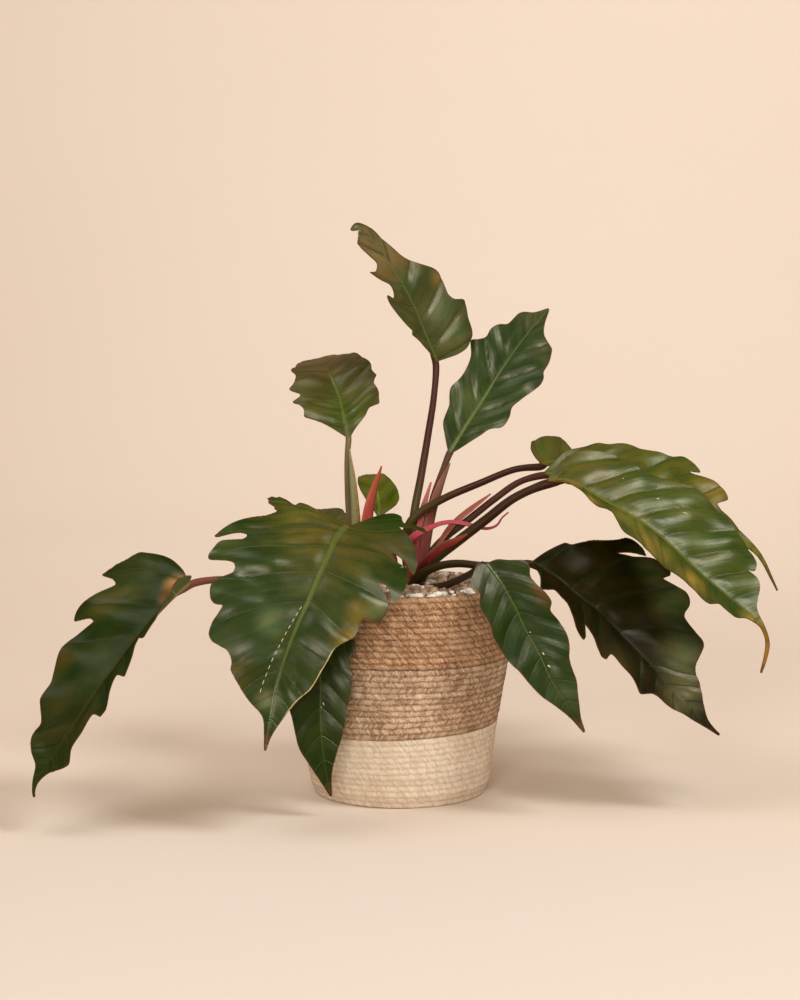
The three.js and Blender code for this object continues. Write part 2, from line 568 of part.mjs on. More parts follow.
// Shoot: stub with a domed top, and all its stalks, grown by extra on every side
function shootSolid({ at, radius, top }, stalks, extra) {
  const shoulder = top - radius * DOME;
  const stub = post(at, radius + extra, SHOOT_FOOT - extra, shoulder);
  const dome = new THREE.SphereGeometry(radius + extra, 14, 8).scale(1, 1, DOME).translate(...at, shoulder);
  const tubes = Object.entries(stalks).map(([leafName, { route, radius: radii }]) => {
    const { here, along } = new Spine(LEAVES[leafName].rib, LEAVES[leafName].face).frame(0);
    const end = here.addScaledVector(along, -GAP * 2).toArray();
    return toSolid(stalk([...route, end], radii, extra));
  });
  return joined([stub, toSolid(dome), ...tubes]);
}

// Basket radius at a height, at the crests of its cord rows
function basketRadius(height) {
  const i = Math.max(1, BASKET_OUTSIDE.findIndex(([h]) => h >= height));
  const [[h0, r0], [h1, r1]] = [BASKET_OUTSIDE[i - 1], BASKET_OUTSIDE[i]];
  return r0 + ((r1 - r0) * (height - h0)) / (h1 - h0);
}

// Lathe that takes [radius, height] pairs and turns about Z
function turned(pairs, sides) {
  const outline = pairs.map(([radius, height]) => new THREE.Vector2(radius, height));
  return new THREE.LatheGeometry(outline, sides).rotateX(Math.PI / 2);
}

// One dyed band of the basket, between two heights, closed by a floor where it is the lowest
function basketBand(bottom, top, floor) {
  const pitch = BASKET_HEIGHT / CORD_ROWS;
  const outside = [[basketRadius(bottom) - CORD_RELIEF, bottom]];
  for (let seam = pitch * Math.ceil(bottom / pitch + 0.01); seam < top - 0.4 * pitch; seam += pitch) {
    outside.push([basketRadius(seam - pitch / 2), seam - pitch / 2]);
    outside.push([basketRadius(seam) - CORD_RELIEF, seam]);
  }
  outside.push([basketRadius(top - 1), top - 1.5], [basketRadius(top) - CORD_RELIEF, top]);
  const levels = [top, (top + bottom) / 2, floor ? BASKET_FLOOR : bottom];
  const wall = [...outside, ...levels.map((h) => [basketRadius(h) - BASKET_WALL, h])];
  return turned(floor ? [[0, bottom], ...wall, [0, BASKET_FLOOR]] : [...wall, wall[0]], BASKET_SIDES);
}

function potGeometry() {
  const foot = BASKET_FLOOR + GAP;
  const mouth = foot + POT_HEIGHT;
  const pairs = [
    [0, foot],
    [POT_FOOT_RADIUS, foot],
    [POT_MOUTH_RADIUS, mouth - POT_LIP_HEIGHT],
    [POT_MOUTH_RADIUS + POT_LIP, mouth - POT_LIP_HEIGHT],
    [POT_MOUTH_RADIUS + POT_LIP, mouth],
    [POT_MOUTH_RADIUS - POT_WALL, mouth],
    [POT_FOOT_RADIUS - POT_WALL, foot + POT_WALL],
    [0, foot + POT_WALL],
  ];
  return turned(pairs, POT_SIDES);
}

function soilGeometry(shoots) {
  const foot = BASKET_FLOOR + GAP + POT_WALL + GAP;
  const top = BASKET_FLOOR + GAP + POT_HEIGHT - 1;
  const footRadius = POT_FOOT_RADIUS - POT_WALL - 0.5;
  const topRadius = POT_MOUTH_RADIUS - POT_WALL - 0.8;
  const filling = turned([[0, foot], [footRadius, foot], [topRadius, top], [0, top]], POT_SIDES);
  return toGeometry(shoots.reduce((soil, shoot) => soil.subtract(shoot), toSolid(filling)));
}

// Gravel: a bed with stones on a spiral that fills the mouth evenly, drawn with random sizes
function gravelGeometry(shoots) {
  const random = randomFrom(7);
  const bottom = BASKET_FLOOR + 2 * GAP + POT_HEIGHT;
  const top = bottom + GRAVEL_DEPTH;
  const stones = Array.from({ length: STONES }, (_, i) => {
    const radius = random(...STONE_RADIUS);
    const reach = Math.sqrt((i + 0.5) / STONES) * (GRAVEL_RADIUS - 11);
    const angle = i * GOLDEN_ANGLE;
    const stone = new THREE.IcosahedronGeometry(radius, 0);
    stone.scale(random(0.8, 1.15), random(0.8, 1.15), random(0.6, 0.8));
    stone.rotateX(random(0, 3)).rotateZ(random(0, 3));
    return toSolid(stone.translate(reach * Math.cos(angle), reach * Math.sin(angle), top + random(0, 2.5)));
  });
  const bed = post([0, 0], GRAVEL_RADIUS, bottom, top, POT_SIDES);
  const heap = joined([bed, ...stones]).intersect(post([0, 0], GRAVEL_RADIUS, bottom, top + 30, POT_SIDES));
  return toGeometry(largest(shoots.reduce((gravel, shoot) => gravel.subtract(shoot), heap)));
}

const COLOURS = {
  leaf: "#3c4f27",
  stalk: "#5a3a33",
  sheath: "#c5473a",
  jute_tan: "#c39058",
  jute_brown: "#9c7458",
  jute_cream: "#e2caa4",
  plastic: "#2b2b2b",
  soil: "#3b2a20",
  gravel: "#d8c7ae",
};

const root = new THREE.Group();

function addPiece(name, geometry, colour) {
  const mesh = new THREE.Mesh(geometry, new THREE.MeshStandardMaterial({ color: COLOURS[colour] }));
  mesh.name = name;
  root.add(mesh);
}

const shoots = { main_shoot: [MAIN_SHOOT, MAIN_STALKS], side_shoot: [SIDE_SHOOT, SIDE_STALKS] };
const clearances = Object.values(shoots).map(([stub, stalks]) => shootSolid(stub, stalks, GAP));

addPiece("basket_base", basketBand(0, CREAM_TOP, true), "jute_cream");
addPiece("basket_band", basketBand(CREAM_TOP + GAP, BROWN_TOP, false), "jute_brown");
addPiece("basket_rim", basketBand(BROWN_TOP + GAP, BASKET_HEIGHT, false), "jute_tan");
addPiece("nursery_pot", potGeometry(), "plastic");
addPiece("soil", soilGeometry(clearances), "soil");
addPiece("gravel", gravelGeometry(clearances), "gravel");
for (const [name, [stub, stalks]] of Object.entries(shoots))
  addPiece(name, toGeometry(shootSolid(stub, stalks, 0)), "stalk");

// Blades and sheaths are cut clear of the stalks
function clearOf(geometry, others) {
  return toGeometry(largest(others.reduce((rest, other) => rest.subtract(other), toSolid(geometry))));
}
for (const [name, leaf] of Object.entries(LEAVES)) addPiece(name, clearOf(blade(leaf), clearances), "leaf");
for (const [name, strap] of Object.entries(SHEATHS))
  addPiece(name, clearOf(sheath(strap), clearances), "sheath");

export default root;
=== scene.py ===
# A philodendron with lobed leaves in a three-tone jute basket, on a pale studio floor.
# Metres, +Z up. The origin is the middle of the basket's foot, and the leaves face -Y.
import bpy
import bmesh
import math
import random
from functools import partial
from mathutils import Matrix, Vector, noise
from mathutils.geometry import delaunay_2d_cdt
from mathutils.kdtree import KDTree


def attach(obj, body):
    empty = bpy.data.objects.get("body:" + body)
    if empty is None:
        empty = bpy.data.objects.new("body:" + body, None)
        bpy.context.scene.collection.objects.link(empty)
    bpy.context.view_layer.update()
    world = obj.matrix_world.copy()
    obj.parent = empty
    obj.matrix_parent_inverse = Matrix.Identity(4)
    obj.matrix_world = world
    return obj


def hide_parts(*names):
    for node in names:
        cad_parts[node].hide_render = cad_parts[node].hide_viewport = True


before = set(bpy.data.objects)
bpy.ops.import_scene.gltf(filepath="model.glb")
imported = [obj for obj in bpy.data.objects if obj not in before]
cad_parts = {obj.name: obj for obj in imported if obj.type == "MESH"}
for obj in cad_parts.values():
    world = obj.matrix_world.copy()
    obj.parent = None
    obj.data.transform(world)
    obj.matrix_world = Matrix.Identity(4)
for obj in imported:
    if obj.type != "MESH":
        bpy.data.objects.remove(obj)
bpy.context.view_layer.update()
scene = bpy.context.scene
mm = 0.001


# sRGB hex colour as linear RGBA
def colour(text):
    parts = [int(text[i:i + 2], 16) / 255 for i in (1, 3, 5)]
    return [c / 12.92 if c <= 0.04045 else ((c + 0.055) / 1.055) ** 2.4 for c in parts] + [1]


def mixed(a, b, t):
    return [p + (q - p) * t for p, q in zip(a, b)]


def smooth(low, high, x):
    t = min(max((x - low) / (high - low), 0), 1)
    return t * t * (3 - 2 * t)


# A shader node with its settings and its inputs, which are sockets or plain values, in order or by key.
# It gives one of the node's outputs.
def addNode(tree, kind, inputs=(), out=0, **settings):
    node = tree.nodes.new("ShaderNode" + kind)
    for key, value in settings.items():
        setattr(node, key, value)
    for key, value in inputs.items() if isinstance(inputs, dict) else enumerate(inputs):
        if isinstance(value, bpy.types.NodeSocket):
            tree.links.new(value, node.inputs[key])
        else:
            node.inputs[key].default_value = value
    return node.outputs[out] if len(node.outputs) else None


# An empty material, and addNode bound to its tree
def newMaterial(name):
    material = bpy.data.materials.new(name)
    material.use_nodes = True
    material.node_tree.nodes.clear()
    return material, partial(addNode, material.node_tree)


# A sheet of rows by cols points, each placed by its own row and column, which it keeps as "cell"
def makeSheet(rows, cols, place):
    bm = bmesh.new()
    bmesh.ops.create_grid(bm, x_segments=cols - 1, y_segments=rows - 1, size=1)
    cell = bm.verts.layers.int.new("cell")
    for vert in bm.verts:
        i = round((vert.co.y + 1) / 2 * (rows - 1))
        j = round((vert.co.x + 1) / 2 * (cols - 1))
        vert[cell] = i * cols + j
        vert.co = place(i, j)
    return bm


# Mesh object at the origin from a bmesh, smooth, with its materials
def addObject(name, bm, materials):
    mesh = bpy.data.meshes.new(name)
    bm.to_mesh(mesh)
    bm.free()
    mesh.polygons.foreach_set("use_smooth", [True] * len(mesh.polygons))
    for material in materials:
        mesh.materials.append(material)
    obj = bpy.data.objects.new(name, mesh)
    scene.collection.objects.link(obj)
    return obj


# Point attribute that each vertex takes from a list by its cell: numbers, vectors or colours
def writeAttribute(obj, name, values):
    mesh = obj.data
    cells = [0] * len(mesh.vertices)
    mesh.attributes["cell"].data.foreach_get("value", cells)
    if isinstance(values[0], (int, float)):
        mesh.attributes.new(name, "FLOAT", "POINT").data.foreach_set("value", [values[c] for c in cells])
        return
    kind, field = {3: ("FLOAT_VECTOR", "vector"), 4: ("FLOAT_COLOR", "color")}[len(values[0])]
    spread = [part for c in cells for part in values[c]]
    mesh.attributes.new(name, kind, "POINT").data.foreach_set(field, spread)


# A piece rides the one body and stands in for its CAD node, which is hidden
def belongs(obj, node, slotName):
    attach(obj, "root")
    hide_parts(node)


# Curves in space

# Steps between two knots while a curve is measured, and points along a finished one
curveSettings = {"between": 24, "samples": 120}


# Value at fraction t of a list of numbers, or of lists of numbers, spread evenly from 0 to 1
def blend(values, t):
    x = min(max(t, 0), 1) * (len(values) - 1)
    i = min(int(x), len(values) - 2)
    a, b = values[i], values[i + 1]
    if isinstance(a, (int, float)):
        return a + (b - a) * (x - i)
    return [p + (q - p) * (x - i) for p, q in zip(a, b)]


# Smooth curve through points, sampled evenly in count steps
def curveThrough(points, count):
    knots = [Vector(p) for p in points]
    knots = [2 * knots[0] - knots[1], *knots, 2 * knots[-1] - knots[-2]]
    fine, steps = [], curveSettings["between"]
    for k in range(1, len(knots) - 2):
        # directions weighed by the root of each gap, so that uneven knots make no loops
        p0, p1, p2, p3 = knots[k - 1:k + 3]
        d0, d1, d2 = [math.sqrt((b - a).length) for a, b in ((p0, p1), (p1, p2), (p2, p3))]
        m1 = ((p1 - p0) / d0 - (p2 - p0) / (d0 + d1) + (p2 - p1) / d1) * d1
        m2 = ((p2 - p1) / d1 - (p3 - p1) / (d1 + d2) + (p3 - p2) / d2) * d1
        fine += [hermite(p1, p2, m1, m2, i / steps) for i in range(steps)]
    fine.append(knots[-2])
    # the fine curve is measured, then read off at even distances
    at = [0]
    for a, b in zip(fine, fine[1:]):
        at.append(at[-1] + (b - a).length)
    curve, k = [], 0
    for i in range(count + 1):
        goal = at[-1] * i / count
        while k < len(at) - 2 and at[k + 1] < goal:
            k += 1
        curve.append(fine[k].lerp(fine[k + 1], (goal - at[k]) / (at[k + 1] - at[k])))
    return curve


# Point at t from p to q, which leaves p along m and reaches q along n
def hermite(p, q, m, n, t):
    return (p * (2 * t ** 3 - 3 * t ** 2 + 1) + m * (t ** 3 - 2 * t ** 2 + t)
            + q * (3 * t ** 2 - 2 * t ** 3) + n * (t ** 3 - t ** 2))


# A curve that can be read at any distance along it, with the direction and the upper side there
class Spine:
    def __init__(self, points, faces):
        self.last = curveSettings["samples"]
        self.points = curveThrough(points, self.last)
        self.faces = faces
        self.length = sum((b - a).length for a, b in zip(self.points, self.points[1:]))

    def frame(self, distance):
        d = min(max(distance, 0), self.length)
        x = d / self.length * self.last
        i = min(int(x), self.last - 1)
        along = (self.points[min(i + 2, self.last)] - self.points[max(i - 1, 0)]).normalized()
        here = self.points[i].lerp(self.points[i + 1], x - i) + along * (distance - d)
        up = Vector(blend(self.faces, d / self.length)).normalized()
        up = (up - along * up.dot(along)).normalized()
        return here, along, up, up.cross(along)


# Place of a flat point (along the rib, out from it, left positive) on a bent blade, raised by extra
def bladePoint(spine, bend, wave, along, out, extra=0):
    here, _, up, left = spine.frame(along)
    lift, curl = blend(bend[0 if out >= 0 else 1], along / spine.length)
    width = abs(out)
    # a half leaves the rib at lift degrees and curls down by curl degrees in each 100 mm
    turn = math.radians(curl or 0.001) / 100
    start = math.radians(lift)
    side = (math.sin(start) - math.sin(start - turn * width)) / turn
    rise = (math.cos(start - turn * width) - math.cos(start)) / turn
    height, length, first = wave
    ripple = height * min(width / 40, 1) ** 2 * math.sin(2 * math.pi * (along - first) / length)
    return here + left * math.copysign(side, out) + up * (rise + ripple + extra)


# Leaves

# In mm, but for ribRows, sweep and pleat
leafSettings = {
    "grain": 2.1,  # between points of the blade
    "edgeStep": 1.6,  # between points of the margin
    "thickness": 0.7,
    "ribRows": (-1.5, -1, -0.5, 0, 0.5, 1, 1.5),  # rows of points along the rib, in half widths of it
    "ribSwell": 1.9,  # extra thickness under the rib at the base
    "ribRise": 0.4,  # how far the rib stands up on top
    "sweep": 1.3,  # how much a side vein curves towards the tip
    "pleat": 0.09,  # height of the swelling between two veins, of the gap between them
    "pleatMost": 2.4,
    "dent": 1.4,  # height of the broad dents
    "dentSize": (34, 30),
    "oneVeinGap": 24,
    "tipGap": 22,  # beyond the last vein
    "rimTone": "#5a3418",
    "paleRimTone": "#d8c08a",
}


# Smooth closed margin through its turns, each rounded as far as it allows
def marginCurve(points):
    corners = [Vector(p) for p in points]
    count = len(corners)
    tangents = []
    for i, here in enumerate(corners):
        a, b = here - corners[i - 1], corners[(i + 1) % count] - here
        # the sharper a turn, the shorter its tangent, so that tips and notches stay pointed
        bend = max((1 + a.normalized().dot(b.normalized())) / 2, 0) ** 0.4
        tangents.append((a.normalized() + b.normalized()) * min(a.length, b.length) * bend * 0.55)
    tangents[0] = Vector((0, 0))
    curve = []
    for i, here in enumerate(corners):
        there = corners[(i + 1) % count]
        steps = max(1, math.ceil((there - here).length / leafSettings["edgeStep"]))
        for k in range(steps):
            curve.append(hermite(here, there, tangents[i], tangents[(i + 1) % count], k / steps))
    return curve


# Veins of one half as (place on the rib, end along, end out): one to each lobe
def lobeVeins(margin, length):
    veins = []
    for before, here, after in zip(margin, margin[1:], margin[2:]):
        if here[1] >= before[1] and here[1] > after[1] and here[1] > 8:
            # a vein leaves the rib well below the tip of its lobe, more so towards the leaf's tip
            root = max(here[0] - here[1] * (0.35 + 0.6 * max(here[0], 0) / length), 2)
            if not veins or root - veins[-1][0] > 5:
                veins.append((root, *here))
    return veins or [(length * 0.3, length * 0.5, 10)]


# Which vein a flat point is at, counted from the base with fractions between two, and their distance
def veinPlace(veins, along, out):
    lines = []
    for root, endAlong, endOut in veins:
        line = root + (endAlong - root) * min(out / endOut, 1.5) ** leafSettings["sweep"]
        lines.append(max(line, lines[-1] + 3) if lines else line)
    first = max(lines[1] - lines[0], 12) if len(lines) > 1 else leafSettings["oneVeinGap"]
    if along < lines[0]:
        return (along - lines[0]) / first, first
    for i in range(1, len(lines)):
        if along < lines[i]:
            gap = lines[i] - lines[i - 1]
            return i - 1 + (along - lines[i - 1]) / gap, gap
    gap = leafSettings["tipGap"]
    return len(lines) - 1 + (along - lines[-1]) / gap, gap


# Colour of a leaf at a flat point: its base with soft patches of (along, out, reach, colour, amount)
def tintAt(tones, base, along, out):
    tint = base
    for patchAlong, patchOut, reach, patchTint, amount in tones:
        far = math.hypot(along - patchAlong, out - patchOut) / reach
        if far < 1:
            tint = mixed(tint, patchTint, amount * (1 - smooth(0, 1, far)))
    return tint


# Flat points of a blade, in mm: its margin, rows beside the rib, and an even field between them
def fillOutline(margin, length, ribHalfAt):
    grain = leafSettings["grain"]
    tree = KDTree(len(margin))
    for i, p in enumerate(margin):
        tree.insert((*p, 0), i)
    tree.balance()
    points = list(margin)
    steps = int(length / grain) - 1
    for i in range(1, steps):
        along = length * i / steps
        half = ribHalfAt(along)
        points += [Vector((along, part * half)) for part in leafSettings["ribRows"]]
    # staggered rows over the rest, clear of the rib and the margin
    lows = [min(p[k] for p in margin) for k in (0, 1)]
    highs = [max(p[k] for p in margin) for k in (0, 1)]
    for i in range(int((highs[0] - lows[0]) / grain) + 1):
        along = lows[0] + i * grain
        clear = ribHalfAt(along) * 1.5 + grain * 0.6 if 0 < along < length else 0
        for j in range(int((highs[1] - lows[1]) / (grain * 1.15)) + 1):
            out = lows[1] + (j + 0.5 * (i % 2)) * grain * 1.15
            if abs(out) > clear:
                points.append(Vector((along, out)))
    kept = points[:len(margin)]
    kept += [p for p in points[len(margin):] if tree.find((*p, 0))[2] > grain * 0.55]
    around = [(i, (i + 1) % len(margin)) for i in range(len(margin))]
    verts, _, faces, *_ = delaunay_2d_cdt(kept, around, [], 1, 1e-4)
    return verts, faces, tree


# Veins of both halves: given, spread evenly, or one to each lobe
def leafVeins(leaf, length):
    if "evenVeins" in leaf:
        first, between, reach, wide = leaf["evenVeins"]
        roots = [first + between * k for k in range(int((length - first - 12) / between))]
        return [[(root, root + reach, wide) for root in roots]] * 2
    given = leaf.get("veins", [None, None])
    return [veins or lobeVeins(leaf[side], length) for veins, side in zip(given, ("left", "right"))]


# Closed blade from the points and faces of its upper side, and how thick it is under each point
def thickBlade(points, faces, under, up):
    bm = bmesh.new()
    cell = bm.verts.layers.int.new("cell")
    verts = [bm.verts.new(p * mm) for p in points]
    for i, vert in enumerate(verts):
        vert[cell] = i
    for face in faces:
        bm.faces.new([verts[i] for i in face])
    bmesh.ops.delete(bm, geom=[v for v in bm.verts if not v.link_faces], context="VERTS")
    bm.normal_update()
    if sum(face.normal.dot(up) for face in bm.faces) < 0:
        bmesh.ops.reverse_faces(bm, faces=bm.faces)
        bm.normal_update()
    # a copy of the blade becomes the upper side, and the first one sinks to the underside
    bottom = {v: v.co - v.normal * under[v[cell]] * mm for v in bm.verts}
    made = bmesh.ops.extrude_face_region(bm, geom=bm.faces[:])["geom"]
    upper = {v for v in made if isinstance(v, bmesh.types.BMVert)}
    for vert, co in bottom.items():
        vert.co = co
    for face in bm.faces:
        face.material_index = 0 if any(v in upper for v in face.verts) else 1
    for e in bm.edges:
        kinds = [{v in upper for v in face.verts} for face in e.link_faces]
        e.smooth = kinds[0] == kinds[-1]
    bmesh.ops.recalc_face_normals(bm, faces=bm.faces)
    return bm


def makeLeaf(name, leaf, seed):
    spine = Spine(leaf["rib"], leaf["face"])
    length = spine.length
    margin = marginCurve(leaf["left"] + [(a, -o) for a, o in reversed(leaf["right"])])
    veins = leafVeins(leaf, length)
    base, ribTone, rimTone, paleRimTone = [colour(tone) for tone in (
        leaf["tone"], leaf["ribTone"], leafSettings["rimTone"], leafSettings["paleRimTone"])]
    tones = [(a, o, r, colour(c), m) for a, o, r, c, m in leaf.get("patches", [])]
    paleFrom, paleTo = leaf.get("paleRim", (0, 0))
    rise = leaf.get("glossFrom", (-2, -1))

    def ribHalfAt(along):
        return blend(leaf["ribWidth"], along / length)

    def surface(along, signed, edgeReach):
        out = abs(signed)
        place, between = veinPlace(veins[0 if signed >= 0 else 1], along, out)
        part = place - math.floor(place)
        swell = min(leafSettings["pleat"] * between, leafSettings["pleatMost"]) * leaf.get("pleatScale", 1)
        fade = smooth(1, 12, out) * (0.5 + 0.5 * smooth(0, 12, edgeReach))
        fromRib = out / ribHalfAt(along) + max(-along / 3, 0, (along - length) / 3)
        long, wide = leafSettings["dentSize"]
        extra = swell * (math.sin(math.pi * part) ** 0.7 - 0.6) * fade
        extra += leafSettings["dent"] * noise.noise(Vector((along / long, signed / wide, seed))) * fade
        extra += leafSettings["ribRise"] * (1 - smooth(0, 1.3, fromRib))
        return bladePoint(spine, leaf["bend"], leaf["wave"], along, signed, extra), fromRib, place, between

    points, faces, tree = fillOutline(margin, length, ribHalfAt)
    top, under, marks = [], [], []
    for along, signed in points:
        fromEdge = tree.find((along, signed, 0))[2]
        point, fromRib, place, between = surface(along, signed, fromEdge)
        top.append(point)
        thick = leafSettings["ribSwell"] * (1 - 0.8 * min(max(along / length, 0), 1))
        under.append(leafSettings["thickness"] + thick * (1 - smooth(0.3, 1.5, fromRib)))
        gloss = leaf.get("gloss", 1) * (0.2 + 0.8 * smooth(*rise, along))
        tint = tintAt(tones, base, along, signed)
        ribTint = mixed(ribTone, tint, 0.6 * smooth(0.3, 0.9, along / length))
        pale = smooth(paleFrom, paleFrom + 15, along) * (1 - smooth(paleTo - 15, paleTo, along))
        rimTint = mixed(rimTone, paleRimTone, pale if signed > 0 and paleTo else 0)
        flat = (along, signed, seed * 50)
        marks.append((min(fromRib, 4), place, between, fromEdge, gloss, tint, ribTint, rimTint, flat))
    up = spine.frame(length / 2)[2]
    obj = addObject(name + "_blade", thickBlade(top, faces, under, up), [leafTop, leafUnder])
    keys = ("rib", "vein", "gap", "edge", "gloss", "tint", "ribTint", "rimTint", "flat")
    for key, values in zip(keys, zip(*marks)):
        writeAttribute(obj, key, values)
    belongs(obj, name, "leaf")
    if "scars" in leaf:
        makeScars(name, leaf["scars"], lambda along, out: surface(along, out, 20)[0])
    return len(obj.data.polygons)


# Thin pale scars lying on a blade, each from one flat point to another, thick in its middle
def makeScars(name, scars, onBlade):
    bm = bmesh.new()
    for startAlong, startOut, endAlong, endOut, width in scars:
        start = onBlade(startAlong, startOut)
        end = onBlade(endAlong, endOut)
        side = onBlade(startAlong, startOut - 2) - start
        up = (end - start).cross(side).normalized()
        up *= 1 if up.y < 0 else -1
        turn = (end - start).to_track_quat("Z", "Y").to_matrix()
        made = bmesh.ops.create_icosphere(bm, subdivisions=2, radius=1)["verts"]
        for vert in made:
            long = vert.co.z * (end - start).length / 2
            co = turn @ Vector((vert.co.x * width / 2, vert.co.y * width / 2, long))
            vert.co = ((start + end) / 2 + co + up * width * 0.3) * mm
    obj = addObject(name + "_scars", bm, [scarSkin])
    belongs(obj, name, "leaf")


# Dry pale scar tissue: matt and chalky, a little uneven
def scarMaterial():
    material, add = newMaterial("dry_pale_scar")
    # clouds of 2 mm
    cloud = add("TexNoise", {"Vector": add("TexCoord", out="Object"), "Scale": 1 / (2 * mm)})
    base = add("Mix", {0: cloud, 6: colour("#b9a878"), 7: colour("#efe3c4")}, 2, data_type="RGBA")
    add("OutputMaterial", [add("BsdfPrincipled", {"Base Color": base, "Roughness": 0.8})])
    return material


# Patterns over the flat blade: how many to 100 mm, detail and roughness
leafPatterns = {
    "blotch": (4, 3, 0.55),  # broad lighter and darker places
    "speck": (45, 3, 0.6),
    "ragged": (12, 2, 0.5),  # how far in the dry edge reaches
    "sheen": (9, 2, 0.5),
    "grain": (110, 2, 0.5),  # cells of the skin, drawn ten times as coarse so that they show
}


# Upper side: semi-gloss green, olive-brown streaks along the veins, a lime rib and a dry brown edge
def leafTopMaterial():
    material, add = newMaterial("glossy_green_leaf")
    flat = add("Attribute", out="Vector", attribute_name="flat")
    vein, gap, rib, edge, gloss = [
        add("Attribute", out="Fac", attribute_name=name) for name in ("vein", "gap", "rib", "edge", "gloss")]
    tint, ribTint, rimTint = [
        add("Attribute", out="Color", attribute_name=name) for name in ("tint", "ribTint", "rimTint")]
    blotch, speck, ragged, sheen, grain = [
        add("TexNoise", {"Vector": flat, "Scale": count / 100, "Detail": detail, "Roughness": roughness})
        for count, detail, roughness in leafPatterns.values()]
    shade = add("Math", [blotch, 1, 0.6], operation="MULTIPLY_ADD")
    fine = add("Math", [speck, 0.3, 0.85], operation="MULTIPLY_ADD")
    shade = add("Math", [shade, fine], operation="MULTIPLY")
    base = add("Mix", {0: 1, 6: tint, 7: shade}, 2, data_type="RGBA", blend_type="MULTIPLY")
    # warm and dark streaks, on coordinates that run with the veins: 2.6 to a gap, 33 mm long
    _, signed, own = add("SeparateXYZ", [flat]).node.outputs
    across = add("Math", [vein, 2.6], operation="MULTIPLY")
    outward = add("Math", [add("Math", [signed], operation="ABSOLUTE"), 3 / 100], operation="MULTIPLY")
    lanes = add("CombineXYZ", [across, outward, own])
    streak = add("TexNoise", {"Vector": lanes, "Scale": 1, "Detail": 3})
    for low, high, factors in ((0.45, 0.7, (1.5, 1.15, 0.9)), (0.54, 0.32, (0.5, 0.72, 0.5))):
        mask = add("MapRange", [streak, low, high], interpolation_type="SMOOTHSTEP")
        amount = add("Math", [mask, 0.8], operation="MULTIPLY")
        tinted = add("VectorMath", [base, factors], operation="MULTIPLY")
        base = add("Mix", {0: amount, 6: base, 7: tinted}, 2, data_type="RGBA")
    # distance in mm to the nearest main vein, and in parts to the nearest of the three finer ones between
    toVein = add("Math", [vein, 0.5], operation="PINGPONG")
    fromVein = add("Math", [toVein, gap], operation="MULTIPLY")
    finer = add("Math", [add("Math", [vein, 4], operation="MULTIPLY"), 0.5], operation="PINGPONG")
    fromRib = add("Math", [rib, add("Math", [speck, 0.3], operation="MULTIPLY")], operation="ADD")
    reach = add("Math", [ragged, 2.4, -0.7], operation="MULTIPLY_ADD")
    fromDry = add("Math", [edge, reach], operation="SUBTRACT")
    creaseShade, veinLine, fineLine, ribLine, dry = [
        add("MapRange", [distance, outer, inner], interpolation_type="SMOOTHSTEP")
        for distance, outer, inner in (
            (fromVein, 3.2, 0.6), (fromVein, 0.9, 0.25), (finer, 0.3, 0), (fromRib, 1.25, 0.85),
            (fromDry, 0.6, 0))]
    # some veins are bolder than others
    nearest = add("Math", [vein], operation="ROUND")
    bold = add("TexWhiteNoise", {"W": nearest}, noise_dimensions="1D")
    bold = add("Math", [bold, 0.35, 0.25], operation="MULTIPLY_ADD")
    # laid over one another: painted shade in the creases beside the main veins, fine veins, main veins,
    # midrib and dry edge
    for line, strength, over in (
            (creaseShade, 0.35, colour("#1c2e0e")), (fineLine, 0.07, ribTint), (veinLine, bold, ribTint),
            (ribLine, 0.85, ribTint), (dry, 0.7, rimTint)):
        amount = add("Math", [line, strength], operation="MULTIPLY")
        base = add("Mix", {0: amount, 6: base, 7: over}, 2, data_type="RGBA")
    height = add("Math", [grain, 0.2], operation="MULTIPLY")
    for line, depth in ((veinLine, -1.8), (fineLine, -0.12)):
        height = add("Math", [line, depth, height], operation="MULTIPLY_ADD")
    add("OutputMaterial", [add("BsdfPrincipled", {
        "Base Color": base,
        "Roughness": add("Math", [sheen, 0.16, 0.24], operation="MULTIPLY_ADD"),
        "Specular IOR Level": add("Math", [gloss, 0.4], operation="MULTIPLY"),
        "Specular Tint": colour("#fffae0"),
        "Normal": add("Bump", {"Height": height, "Distance": 0.5 * mm, "Strength": 0.6}),
    })])
    return material


# Underside: paler, dull, with the same veins raised
def leafUnderMaterial():
    material, add = newMaterial("dull_pale_leaf_underside")
    flat = add("Attribute", out="Vector", attribute_name="flat")
    tint = add("Attribute", out="Color", attribute_name="tint")
    vein, gap, rib = [add("Attribute", out="Fac", attribute_name=name) for name in ("vein", "gap", "rib")]
    # clouds, 6 to 100 mm
    cloud = add("TexNoise", {"Vector": flat, "Scale": 6 / 100, "Detail": 3})
    shade = add("Math", [cloud, 0.5, 0.8], operation="MULTIPLY_ADD")
    base = add("Mix", {0: 0.45, 6: tint, 7: colour("#8d9a5a")}, 2, data_type="RGBA")
    base = add("Mix", {0: 1, 6: base, 7: shade}, 2, data_type="RGBA", blend_type="MULTIPLY")
    toVein = add("Math", [vein, 0.5], operation="PINGPONG")
    fromVein = add("Math", [toVein, gap], operation="MULTIPLY")
    line, ribLine = [
        add("MapRange", [distance, outer, inner], interpolation_type="SMOOTHSTEP")
        for distance, outer, inner in ((fromVein, 1.2, 0.3), (rib, 1.1, 0.7))]
    for mask, strength, over in ((line, 0.5, "#a9b26c"), (ribLine, 0.8, "#a08a55")):
        amount = add("Math", [mask, strength], operation="MULTIPLY")
        base = add("Mix", {0: amount, 6: base, 7: colour(over)}, 2, data_type="RGBA")
    add("OutputMaterial", [add("BsdfPrincipled", {
        "Base Color": base,
        "Roughness": 0.6,
        "Normal": add("Bump", {"Height": line, "Distance": 0.4 * mm, "Strength": 0.5}),
    })])
    return material


